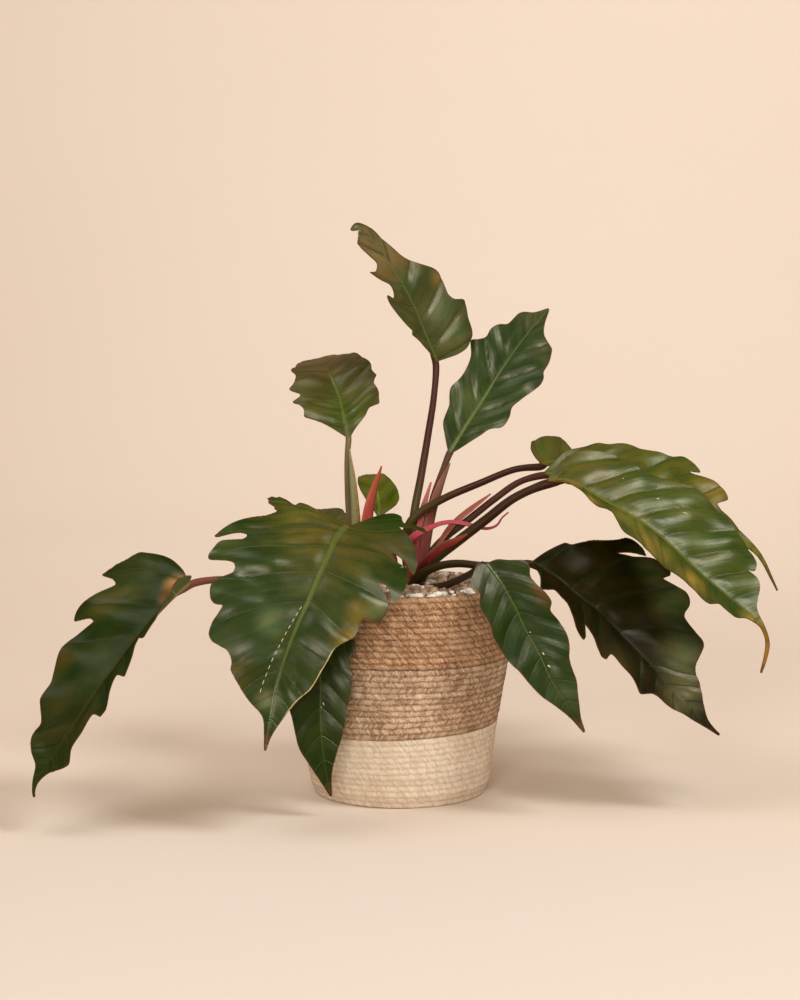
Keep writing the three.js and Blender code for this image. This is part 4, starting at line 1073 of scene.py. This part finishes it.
def makeStalk(shoot, name, route, radii, tones):
    leaf = leafShapes[name]
    rib = Spine(leaf["rib"], leaf["face"])
    # the stalk runs on for a while just under the rib
    points = list(route)
    tail, end = stalkSettings["tail"], radii[1]
    for distance, depth in ((0, end), (tail * 0.5, end * 0.9 + 0.6), (tail, end * 0.5 + 1)):
        here, _, up, _ = rib.frame(distance)
        points.append(here - up * depth)
    spine = Spine(points, [(0.35, -0.9, 0.25)] * 2)
    tailFrom = 1 - tail / spine.length
    count = math.ceil(spine.length / stalkSettings["step"])
    sides = stalkSettings["sides"]
    rings = []
    for i in range(count + 1):
        t = i / count
        here, _, up, left = spine.frame(spine.length * t)
        # thicker at the foot and just below the blade, and thin where it has sunk into the rib
        radius = blend(radii, min(t / tailFrom, 1))
        radius *= 1 + 0.3 * (1 - smooth(0.05, 0.3, t)) + 0.18 * smooth(tailFrom - 0.12, tailFrom, t)
        radius *= 1 - 0.75 * smooth(tailFrom, 1, t)
        rings.append((here, up, left, radius))
    obj = addObject(name + "_stalk", makeTube(rings, sides), [stalkSkin])
    lengths = [spine.length * i / count for i in range(count + 1)]
    paintTube(obj, tones, lambda i: smooth(0.1, 0.6, i / count), lengths, 4, sides)
    belongs(obj, shoot, "stalk")


# Foot of a shoot: a rough peg from the soil to a rounded top
def makeStub(shoot, centre, radius, top, tones):
    foot, dome, rows = stalkSettings["foot"], stalkSettings["dome"], stalkSettings["stubRows"]
    shoulder = top - radius * dome
    heights = [(foot + (shoulder - foot) * i / rows, radius) for i in range(rows + 1)]
    for i in range(1, stalkSettings["domeRows"]):
        angle = math.pi / 2 * i / stalkSettings["domeRows"]
        heights.append((shoulder + radius * dome * math.sin(angle), radius * math.cos(angle)))
    rings = []
    for height, ringRadius in heights:
        rough = ringRadius * (1 + stalkSettings["rough"] * noise.noise(Vector((height / 6, radius, 0))))
        rings.append((Vector((*centre, height)), Vector((1, 0, 0)), Vector((0, 1, 0)), rough))
    sides = stalkSettings["stubSides"]
    obj = addObject(shoot + "_stub", makeTube(rings, sides), [stalkSkin])
    paintTube(obj, tones, lambda i: smooth(8, 19, i), [height for height, _ in heights], radius, sides)
    belongs(obj, shoot, "stalk")


# Smooth skin with a soft shine and fine streaks along the stalk
def stalkMaterial():
    material, add = newMaterial("smooth_purple_brown_stalk")
    flat = add("Attribute", out="Vector", attribute_name="flat")
    tint = add("Attribute", out="Color", attribute_name="tint")
    # streaks: 3 to 100 mm along, and 120 to 100 mm round it, about twice as coarse as the real fibres
    stretched = add("VectorMath", [flat, (3 / 100, 120 / 100, 120 / 100)], operation="MULTIPLY")
    streaks = add("TexNoise", {"Vector": stretched, "Scale": 1, "Detail": 3})
    shade = add("Math", [streaks, 0.9, 0.55], operation="MULTIPLY_ADD")
    warm = add("VectorMath", [shade, (1, 0.9, 0.76)], operation="MULTIPLY")
    base = add("Mix", {0: 1, 6: tint, 7: warm}, 2, data_type="RGBA", blend_type="MULTIPLY")
    add("OutputMaterial", [add("BsdfPrincipled", {
        "Base Color": base,
        "Roughness": 0.42,
        "Specular IOR Level": 0.22,
        "Specular Tint": colour("#ffdcb4"),
        "Normal": add("Bump", {"Height": streaks, "Distance": 0.3 * mm, "Strength": 0.5}),
    })])
    return material


# Sheaths

# curl: degrees to 100 mm across. step: mm between rows. cols: points across
sheathSettings = {"curl": 320, "thickness": 0.6, "step": 2.5, "cols": 11, "ripple": 0.5}


def makeSheath(name, sheath):
    spine = Spine(sheath["route"], [sheath["face"]] * 2)
    roll = [[(0, sheathSettings["curl"])] * 2] * 2
    count = math.ceil(spine.length / sheathSettings["step"])
    cols = sheathSettings["cols"]
    top, flat, tint = [], [], []
    low, high, left, right = [colour(tone) for tone in sheath["tones"] + sheath["sides"]]
    for i in range(count + 1):
        t = i / count
        half = blend(sheath["widths"], t) / 2
        middle = mixed(low, high, smooth(0.2, 1, t))
        for j in range(cols):
            across = 1 - 2 * j / (cols - 1)
            lean = sheathSettings["ripple"] * noise.noise(Vector((t * 5, across * 0.7, spine.length)))
            top.append(bladePoint(spine, roll, (0, 1, 0), spine.length * t, across * half, lean))
            flat.append((spine.length * t, across * half, spine.length))
            side = left if across > 0 else right
            tint.append(mixed(middle, side, 0.85 * smooth(0.35, 0.95, abs(across))))
    bm = makeSheet(count + 1, cols, lambda i, j: top[i * cols + j] * mm)
    bmesh.ops.recalc_face_normals(bm, faces=bm.faces)
    toward = Vector(sheath["face"])
    if sum(face.normal.dot(toward) for face in bm.faces) < 0:
        bmesh.ops.reverse_faces(bm, faces=bm.faces)
    bmesh.ops.solidify(bm, geom=bm.faces[:], thickness=sheathSettings["thickness"] * mm)
    bmesh.ops.recalc_face_normals(bm, faces=bm.faces)
    obj = addObject(name + "_strap", bm, [sheathSkin])
    writeAttribute(obj, "tint", tint)
    writeAttribute(obj, "flat", flat)
    belongs(obj, name, sheath["slot"])


# Papery skin: half matt, a little light comes through it, with fine ribs along it and dry flecks
def sheathMaterial():
    material, add = newMaterial("papery_leaf_sheath")
    flat = add("Attribute", out="Vector", attribute_name="flat")
    tint = add("Attribute", out="Color", attribute_name="tint")
    # ribs: 4 to 100 mm along, 160 to 100 mm across, as wide apart as the real ones. flecks: 16 to 100 mm
    stretched = add("VectorMath", [flat, (4 / 100, 160 / 100, 1)], operation="MULTIPLY")
    ribs = add("TexNoise", {"Vector": stretched, "Scale": 1, "Detail": 3})
    flecks = add("TexNoise", {"Vector": flat, "Scale": 16 / 100, "Detail": 3})
    shade = add("Math", [ribs, 0.8, 0.62], operation="MULTIPLY_ADD")
    dry = add("MapRange", [flecks, 0.52, 0.75], interpolation_type="SMOOTHSTEP")
    base = add("Mix", {0: dry, 6: tint, 7: colour("#8a4a30")}, 2, data_type="RGBA")
    base = add("Mix", {0: 1, 6: base, 7: shade}, 2, data_type="RGBA", blend_type="MULTIPLY")
    add("OutputMaterial", [add("BsdfPrincipled", {
        "Base Color": base,
        "Roughness": 0.5,
        "Subsurface Weight": 0.1,
        "Subsurface Radius": (3 * mm, 1 * mm, 1 * mm),
        "Normal": add("Bump", {"Height": ribs, "Distance": 0.3 * mm, "Strength": 0.6}),
    })])
    return material


# Basket

# In mm, but for rows, around and perRow
basketSettings = {
    "height": 195,
    "outside": [(0, 80), (12, 85), (57, 91), (100, 98), (130, 103), (195, 102)],  # (height, radius)
    "wall": 5,
    "floor": 6,
    "footRing": 60,  # radius of the flat foot
    "joint": 0.15,  # half of the gap between two bands
    "sag": 3.5,  # how far the lower rows rise on one side and fall on the other
    "bulge": 0.6,  # unevenness of the wall: broad
    "dent": 0.35,  # and narrow
    "inset": 0.5,  # room left for the bulges
    "drift": 0.5,  # how far a row strays up and down
    "strand": 2.4,  # width of a strand in the cord
    "rows": 36,  # of cord
    "perRow": 7,  # points across a row
    "around": 672,  # points round it
}
# relief: depth of the seams between cord rows. twist: lean of the strands across a row, in strands.
# alternate: whether every second row leans the other way. rowSpread: how much the rows differ in tone.
# seamDepth, hollowShadeDepth: how dark the painted shade is in the seams between rows and in the hollows
# between strands.
bandShapes = {
    "basket_base": {
        "from": 0, "to": 12, "slot": "jute_cream", "material": "cream_jute_cord", "relief": 0.45,
        "twist": 1.6, "alternate": False, "seamDepth": 0.45, "hollowShadeDepth": 0.07, "bump": 0.45,
        "tones": ("#d8be9a", "#fff8ec"), "seam": "#7c5832", "rowSpread": 0.05,
    },
    "basket_band": {
        "from": 12, "to": 24, "slot": "jute_brown", "material": "brown_jute_cord", "relief": 0.8,
        "twist": 1.4, "alternate": True, "seamDepth": 1.0, "hollowShadeDepth": 0.12, "bump": 0.6,
        "tones": ("#865832", "#fde2c2"), "seam": "#2c160a", "rowSpread": 0.12,
    },
    "basket_rim": {
        "from": 24, "to": 36, "slot": "jute_tan", "material": "natural_tan_jute_cord", "relief": 1.1,
        "twist": 1.9, "alternate": False, "seamDepth": 1.0, "hollowShadeDepth": 0.2, "bump": 0.6,
        "tones": ("#7a4827", "#f4cda2"), "seam": "#2a1408", "rowSpread": 0.1,
    },
}


# Radius of the basket at a height
def basketRadius(height):
    for (h0, r0), (h1, r1) in zip(basketSettings["outside"], basketSettings["outside"][1:]):
        if height <= h1:
            return r0 + (r1 - r0) * (height - h0) / (h1 - h0)
    return basketSettings["outside"][-1][1]


# Section of a band as (radius, height, row of cord, whether it waves), from the lower edge outwards
def bandSection(band, low, high, pitch):
    closed = band["from"] == 0
    section = [(0, 0, 0, False), (basketSettings["footRing"], 0, 0, False)] if closed else []
    for row in range(band["from"], band["to"]):
        for k in range(basketSettings["perRow"]):
            t = (k + 0.5) / basketSettings["perRow"]
            height = min(max((row + t) * pitch, low), high)
            fall = band["relief"] * (1 - math.sqrt(1 - (2 * t - 1) ** 2))
            if row == basketSettings["rows"] - 1 and t > 0.5:
                fall *= 1.6
            section.append((basketRadius(height) - fall, height, row + t, True))
    last = band["to"] - 0.02
    section.append((basketRadius(high) - band["relief"] * 0.9, high, last, True))
    inner = [high, high - 3, (high + low) / 2, basketSettings["floor"] if closed else low]
    section += [(basketRadius(h) - basketSettings["wall"], h, last, False) for h in inner]
    if closed:
        section.append((0, basketSettings["floor"], last, False))
    else:
        section += [(basketRadius(low) - band["relief"], low, band["from"], False), section[0]]
    return section


def makeBand(name, band):
    pitch = basketSettings["height"] / basketSettings["rows"]
    joint = basketSettings["joint"]
    low, high = band["from"] * pitch + (joint if band["from"] else 0), band["to"] * pitch - joint
    section = bandSection(band, low, high, pitch)
    around = basketSettings["around"]

    def place(i, j):
        radius, height, row, waves = section[i]
        angle = 2 * math.pi * (j % around) / around + math.pi / 2
        x, y = math.cos(angle), math.sin(angle)

        def uneven(times, level):
            return noise.noise(Vector((x * times, y * times, level)))

        height += basketSettings["sag"] * x * smooth(0, 55, height) * (1 - smooth(65, 110, height))
        if waves:
            radius += basketSettings["bulge"] * uneven(9, row * 0.6)
            radius += basketSettings["dent"] * uneven(30, row * 1.1) - basketSettings["inset"]
            if low + 1 < height < high - 1:
                drift = uneven(5, math.floor(row) * 3.7) + uneven(19, row * 0.8)
                height += basketSettings["drift"] * drift
        return Vector((radius * x, radius * y, height)) * mm

    bm = makeSheet(len(section), around + 1, place)
    cell = bm.verts.layers.int["cell"]
    weave = bm.loops.layers.uv.new("weave")
    strands = round(2 * math.pi * basketRadius(130) / basketSettings["strand"])
    for face in bm.faces:
        for loop in face.loops:
            i, j = divmod(loop.vert[cell], around + 1)
            loop[weave].uv = (j / around * strands, section[i][2])
    bmesh.ops.remove_doubles(bm, verts=bm.verts, dist=1e-6)
    bmesh.ops.recalc_face_normals(bm, faces=bm.faces)
    obj = addObject(name + "_cords", bm, [cordMaterial(band)])
    belongs(obj, name, band["slot"])


# Patterns over the basket: how many to 100 mm, detail and roughness
cordPatterns = {
    "broad": (1.6, 3, 0.5),  # lighter and darker parts of a band
    "sway": (7, 3, 0.6),  # how the strands shift sideways
    "wander": (26, 2, 0.5),  # how the seams wave up and down
}


# Twisted jute, matt and hairy: strands that lean across each cord row, each of its own tone, with painted
# shade in the seams between rows and the hollows between strands.
# The weave map counts strands of 2.4 mm round the basket and cord rows of 5.4 mm up it.
def cordMaterial(band):
    material, add = newMaterial(band["material"])
    weave = add("UVMap", uv_map="weave")
    position = add("TexCoord", out="Object")
    broad, sway, wander = [
        add("TexNoise", {"Vector": position, "Scale": count / (100 * mm), "Detail": detail,
                         "Roughness": roughness})
        for count, detail, roughness in cordPatterns.values()]
    strand, level, _ = add("SeparateXYZ", [weave]).node.outputs
    rowAt = add("Math", [level], operation="FLOOR")
    jitter = add("TexWhiteNoise", {"W": rowAt}, noise_dimensions="1D")
    fromMiddle = add("Math", [add("Math", [level], operation="FRACT"), 0.5], operation="SUBTRACT")
    lean = add("Math", [fromMiddle, band["twist"]], operation="MULTIPLY")
    if band["alternate"]:
        odd = add("Math", [rowAt, 2], operation="MODULO")
        side = add("Math", [odd, 2, -1], operation="MULTIPLY_ADD")
        lean = add("Math", [lean, side], operation="MULTIPLY")
    sway = add("Math", [sway, 4, -2], operation="MULTIPLY_ADD")
    leaning = add("Math", [strand, lean], operation="ADD")
    drift = add("Math", [jitter, sway], operation="ADD")
    shifted = add("Math", [leaning, drift], operation="ADD")
    inStrand = add("Math", [shifted], operation="FRACT")
    spot = add("CombineXYZ", [add("Math", [shifted], operation="FLOOR"), rowAt])
    ownTone = add("TexWhiteNoise", {"Vector": spot}, noise_dimensions="2D")
    # each strand loops a little over the seam below it
    turn = add("Math", [add("Math", [inStrand, 2 * math.pi], operation="MULTIPLY")], operation="SINE")
    wander = add("Math", [wander, 0.5, -0.25], operation="MULTIPLY_ADD")
    loop = add("Math", [turn, 0.1, wander], operation="MULTIPLY_ADD")
    raised = add("Math", [level, loop], operation="ADD")
    inRow = add("Math", [raised, rowAt], operation="SUBTRACT", use_clamp=True)
    acrossStrand, acrossRow = [
        add("Math", [add("Math", [part, math.pi], operation="MULTIPLY")], operation="SINE")
        for part in (inStrand, inRow)]
    # fibres: 2.6 to a strand, 4.5 to a row, so 1 mm apart, five times as coarse as the real ones to show
    finer = add("VectorMath", [add("CombineXYZ", [shifted, level]), (2.6, 4.5, 1)], operation="MULTIPLY")
    fibre = add("TexNoise", {"Vector": finer, "Scale": 1, "Detail": 4, "Roughness": 0.75})
    tone = add("Math", [broad, 0.2], operation="MULTIPLY")
    for part, share in ((ownTone, 0.12), (fibre, 0.9)):
        tone = add("Math", [part, share, tone], operation="MULTIPLY_ADD")
    pale = add("MapRange", [tone, 0.44, 0.8], interpolation_type="SMOOTHSTEP")
    dark, light = [colour(name) for name in band["tones"]]
    base = add("Mix", {0: pale, 6: dark, 7: light}, 2, data_type="RGBA")
    rowShade = add("Math", [jitter, 2 * band["rowSpread"], 1 - band["rowSpread"]], operation="MULTIPLY_ADD")
    base = add("Mix", {0: 1, 6: base, 7: rowShade}, 2, data_type="RGBA", blend_type="MULTIPLY")
    # painted shade: dark dashes where two rows meet, open and closed every 8 mm, and dimmer hollows between
    # strands
    stretched = add("VectorMath", [weave, (0.3, 7.3, 1)], operation="MULTIPLY")
    gaps = add("TexNoise", {"Vector": stretched, "Scale": 1, "Detail": 3, "Roughness": 0.7})
    openSeam, seam, hollowShade = [
        add("MapRange", [value, low, high], interpolation_type="SMOOTHSTEP")
        for value, low, high in ((gaps, 0.42, 0.56), (acrossRow, 0.75, 0.2), (acrossStrand, 0.5, 0))]
    dash = add("Math", [acrossStrand, -0.75, 1], operation="MULTIPLY_ADD")
    for part in (dash, add("Math", [openSeam, 0.5, 0.5], operation="MULTIPLY_ADD")):
        seam = add("Math", [seam, part], operation="MULTIPLY")
    for mask, depth in ((hollowShade, band["hollowShadeDepth"]), (seam, band["seamDepth"])):
        amount = add("Math", [mask, depth], operation="MULTIPLY")
        base = add("Mix", {0: amount, 6: base, 7: colour(band["seam"])}, 2, data_type="RGBA")
    height = add("Math", [fibre, 0.9], operation="MULTIPLY")
    for part, rise in ((acrossStrand, 0.4), (seam, -1.3)):
        height = add("Math", [part, rise, height], operation="MULTIPLY_ADD")
    add("OutputMaterial", [add("BsdfPrincipled", {
        "Base Color": base,
        "Roughness": 0.85,
        "Specular IOR Level": 0.2,
        "Normal": add("Bump", {"Height": height, "Distance": 1.2 * mm, "Strength": band["bump"]}),
    })])
    return material


# Gravel, soil and inner pot

# In mm. tones: (colour, share) of the stones at the front edge and of the others
gravelSettings = {
    "bed": 190.6,
    "bedDepth": 8,
    "bedTone": "#6b5a48",
    "radius": 96,
    "top": 203,
    "stones": 620,
    "size": (2.6, 5.6),  # half of a stone's width
    "dust": "#c9b49a",
    "paleTones": [("#f2ede4", 0.65), ("#d9cbb4", 0.2), ("#a88c6c", 0.15)],
    "brownTones": [("#dfd5c6", 0.16), ("#a98d6e", 0.34), ("#8a6c50", 0.3), ("#6c5240", 0.2)],
}


def makeGravel():
    draw = random.Random(12)
    bm = bmesh.new()
    tint = bm.verts.layers.float_color.new("tint")
    radius, depth = gravelSettings["radius"], gravelSettings["bedDepth"]
    bed = bmesh.ops.create_cone(bm, cap_ends=True, segments=64, radius1=radius * mm, radius2=radius * mm,
                                depth=depth * mm)["verts"]
    for vert in bed:
        vert.co.z += (gravelSettings["bed"] - depth / 2) * mm
        vert[tint] = colour(gravelSettings["bedTone"])
    for i in range(gravelSettings["stones"]):
        size = draw.uniform(*gravelSettings["size"])
        reach = math.sqrt((i + 0.5) / gravelSettings["stones"]) * (radius - 5)
        angle = i * math.pi * (3 - math.sqrt(5)) + draw.uniform(-0.05, 0.05)
        shape = Vector([draw.uniform(0.75, 1.2), draw.uniform(0.7, 1.1), draw.uniform(0.6, 0.95)])
        turn = Matrix.Rotation(draw.uniform(0, 6.28), 3, "Z")
        turn = turn @ Matrix.Rotation(draw.uniform(-0.6, 0.6), 3, "X")
        pick = draw.random()
        front = reach * math.sin(angle) < -78 or (reach > 74 and draw.random() < 0.4)
        for tone, share in gravelSettings["paleTones" if front else "brownTones"]:
            pick -= share
            if pick < 0:
                break
        tone = mixed(colour(tone), colour(gravelSettings["dust"]), draw.uniform(0, 0.3))
        lift = draw.uniform(0, 5)
        middle = Vector((reach * math.cos(angle), reach * math.sin(angle), gravelSettings["bed"] + lift))
        for vert in bmesh.ops.create_icosphere(bm, subdivisions=2, radius=1)["verts"]:
            knobby = 1 + 0.5 * noise.noise(vert.co * 1.3 + Vector((i * 3.1, 0, 0)))
            co = turn @ (vert.co * shape) * size * knobby + middle
            over = math.hypot(co.x, co.y) / (radius - 0.3)
            if over > 1:
                co.x, co.y = co.x / over, co.y / over
            co.z = min(co.z, gravelSettings["top"])
            vert.co = co * mm
            vert[tint] = tone
    obj = addObject("gravel_stones", bm, [stoneMaterial()])
    belongs(obj, "gravel", "gravel")


# Matt pale pebbles with faint veining
def stoneMaterial():
    material, add = newMaterial("pale_gravel_stone")
    position = add("TexCoord", out="Object")
    tint = add("Attribute", out="Color", attribute_name="tint")
    # clouds, 42 to 100 mm, and a grit, 150 to 100 mm
    cloud = add("TexNoise", {"Vector": position, "Scale": 42 / (100 * mm), "Detail": 4, "Roughness": 0.7})
    grit = add("TexNoise", {"Vector": position, "Scale": 150 / (100 * mm)})
    shade = add("Math", [cloud, 1.3, 0.35], operation="MULTIPLY_ADD")
    base = add("Mix", {0: 1, 6: tint, 7: shade}, 2, data_type="RGBA", blend_type="MULTIPLY")
    add("OutputMaterial", [add("BsdfPrincipled", {
        "Base Color": base,
        "Roughness": 0.7,
        "Normal": add("Bump", {"Height": grit, "Distance": 0.3 * mm, "Strength": 0.4}),
    })])
    return material


# Potting soil: dark, dull crumbs of 4 mm
def soilMaterial():
    material, add = newMaterial("potting_soil")
    crumbs = add("TexNoise", {"Vector": add("TexCoord", out="Object"), "Scale": 26 / (100 * mm),
                              "Detail": 4, "Roughness": 0.7})
    base = add("Mix", {0: crumbs, 6: colour("#241912"), 7: colour("#5a4232")}, 2, data_type="RGBA")
    add("OutputMaterial", [add("BsdfPrincipled", {
        "Base Color": base,
        "Roughness": 0.95,
        "Normal": add("Bump", {"Height": crumbs, "Distance": 2 * mm, "Strength": 0.8}),
    })])
    return material


# Black moulded polypropylene: half matt, pebbled with a grain 70 to 100 mm
def plasticMaterial():
    material, add = newMaterial("black_moulded_plastic")
    grain = add("TexNoise", {"Vector": add("TexCoord", out="Object"), "Scale": 70 / (100 * mm)})
    base = add("Mix", {0: grain, 6: colour("#1d1d1e"), 7: colour("#2a2a2b")}, 2, data_type="RGBA")
    add("OutputMaterial", [add("BsdfPrincipled", {
        "Base Color": base,
        "Roughness": 0.5,
        "Normal": add("Bump", {"Height": grain, "Distance": 0.2 * mm, "Strength": 0.4}),
    })])
    return material


# Stage, light and camera

# In metres: the floor is flat as far as reach, then bends up through bow to the top of the wall
sweepSettings = {"reach": 2.4, "bow": 2.2, "top": 4.6, "bowSteps": 16, "around": 96}


# Smooth pale studio sweep: floor and wall in one bowl, seamless from every side
def makeStage():
    bm = bmesh.new()
    reach, bow, steps = sweepSettings["reach"], sweepSettings["bow"], sweepSettings["bowSteps"]
    profile = [(0, 0), (reach, 0)]
    for i in range(1, steps + 1):
        a = math.pi / 2 * i / steps
        profile.append((reach + bow * math.sin(a), bow - bow * math.cos(a)))
    profile.append((reach + bow, sweepSettings["top"]))
    verts = [bm.verts.new((r, 0, z)) for r, z in profile]
    edges = [bm.edges.new(pair) for pair in zip(verts, verts[1:])]
    bmesh.ops.spin(bm, geom=verts + edges, cent=(0, 0, 0), axis=(0, 0, 1), angle=2 * math.pi,
                   steps=sweepSettings["around"], use_merge=True)
    bmesh.ops.remove_doubles(bm, verts=bm.verts, dist=1e-6)
    bmesh.ops.recalc_face_normals(bm, faces=bm.faces)
    bmesh.ops.reverse_faces(bm, faces=bm.faces)
    obj = addObject("studio_sweep", bm, [sweepMaterial()])
    # the leaves mirror only the lights, as in a dim room
    obj.visible_glossy = False


# Warm cream paint, quite matt, with clouds 1.25 m wide, and painted shade that makes it a touch greyer in
# front of the basket
def sweepMaterial():
    material, add = newMaterial("matt_cream_paint")
    position = add("TexCoord", out="Object")
    cloud = add("TexNoise", {"Vector": position, "Scale": 1 / 1.25, "Detail": 1})
    base = add("Mix", {0: cloud, 6: colour("#efe3d6"), 7: colour("#ecdfd1")}, 2, data_type="RGBA")
    depth = add("SeparateXYZ", [position]).node.outputs[1]
    # painted shade: the floor turns a touch greyer towards the front
    front = add("MapRange", [depth, -0.05, -0.35], interpolation_type="SMOOTHSTEP")
    base = add("Mix", {0: front, 6: base, 7: colour("#ebe3da")}, 2, data_type="RGBA")
    add("OutputMaterial", [
        add("BsdfPrincipled", {"Base Color": base, "Roughness": 0.9, "Specular IOR Level": 0.1})])
    return material


# Place, point aimed at, width in metres, watts and tint of each light
studioLights = {
    "right_softbox": ((0.95, -0.75, 1.8), (0, 0, 0.25), 0.6, 18, "#fffdfa"),
    "left_softbox": ((-0.7, -0.3, 1.9), (0, 0, 0.2), 0.9, 7, "#fcfcff"),
    "front_fill": ((-0.42, -2.65, 1.0), (0, 0, 0.3), 0.8, 29, "#fff8f2"),
    "wall_light": ((0.5, 1.9, 2.9), (0.2, 4.6, 0.9), 2.4, 59, "#fffdfa"),
    "ceiling_bounce": ((0, -0.4, 3.6), (0, -0.4, 0), 4, 19, "#ffd4a8"),
}
airSettings = {"tint": "#ffe4c8", "strength": 0.2}


def addLight(name, at, aim, width, power, tint):
    data = bpy.data.lights.new(name, "AREA")
    data.size = width
    data.energy = power
    data.color = colour(tint)[:3]
    obj = bpy.data.objects.new(name, data)
    # broad bounced light gives no highlight
    obj.visible_glossy = width < 1
    obj.location = at
    obj.rotation_euler = (Vector(aim) - obj.location).to_track_quat("-Z", "Y").to_euler()
    scene.collection.objects.link(obj)


def addWorld():
    world = bpy.data.worlds.new("studio_air")
    scene.world = world
    world.use_nodes = True
    background = world.node_tree.nodes["Background"]
    background.inputs[0].default_value = colour(airSettings["tint"])
    background.inputs[1].default_value = airSettings["strength"]


# down: degrees below level. lens and sensor in mm
cameraSettings = {"at": (0, -1.805, 0.43), "down": 4.97, "lens": 70, "sensor": 36}


def addCamera():
    data = bpy.data.cameras.new("camera")
    data.lens = cameraSettings["lens"]
    data.sensor_width = cameraSettings["sensor"]
    obj = bpy.data.objects.new("camera", data)
    obj.location = cameraSettings["at"]
    obj.rotation_euler = (math.radians(90 - cameraSettings["down"]), 0, 0)
    scene.collection.objects.link(obj)
    scene.camera = obj


leafTop = leafTopMaterial()
leafUnder = leafUnderMaterial()
scarSkin = scarMaterial()
stalkSkin = stalkMaterial()
sheathSkin = sheathMaterial()

for seed, (leafName, leafShape) in enumerate(leafShapes.items()):
    count = makeLeaf(leafName, leafShape, seed + 1)
    print(leafName, count, "faces")
for shootName, stalks in stalkShapes.items():
    for leafName, (route, radii, tones) in stalks.items():
        makeStalk(shootName, leafName, route, radii, tones)
for shootName, shootShape in shootShapes.items():
    makeStub(shootName, *shootShape)
print("stalks done")
for sheathName, sheathShape in sheathShapes.items():
    makeSheath(sheathName, sheathShape)
print("sheaths done")
for bandName, bandShape in bandShapes.items():
    makeBand(bandName, bandShape)
print("basket done")
makeGravel()
for nodeName, finish in (("soil", soilMaterial()), ("nursery_pot", plasticMaterial())):
    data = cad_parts[nodeName].data
    data.materials.clear()
    data.materials.append(finish)
print("gravel, soil and pot done")
makeStage()
for lightName, lightShape in studioLights.items():
    addLight(lightName, *lightShape)
addWorld()
addCamera()
scene.view_settings.view_transform = "Standard"
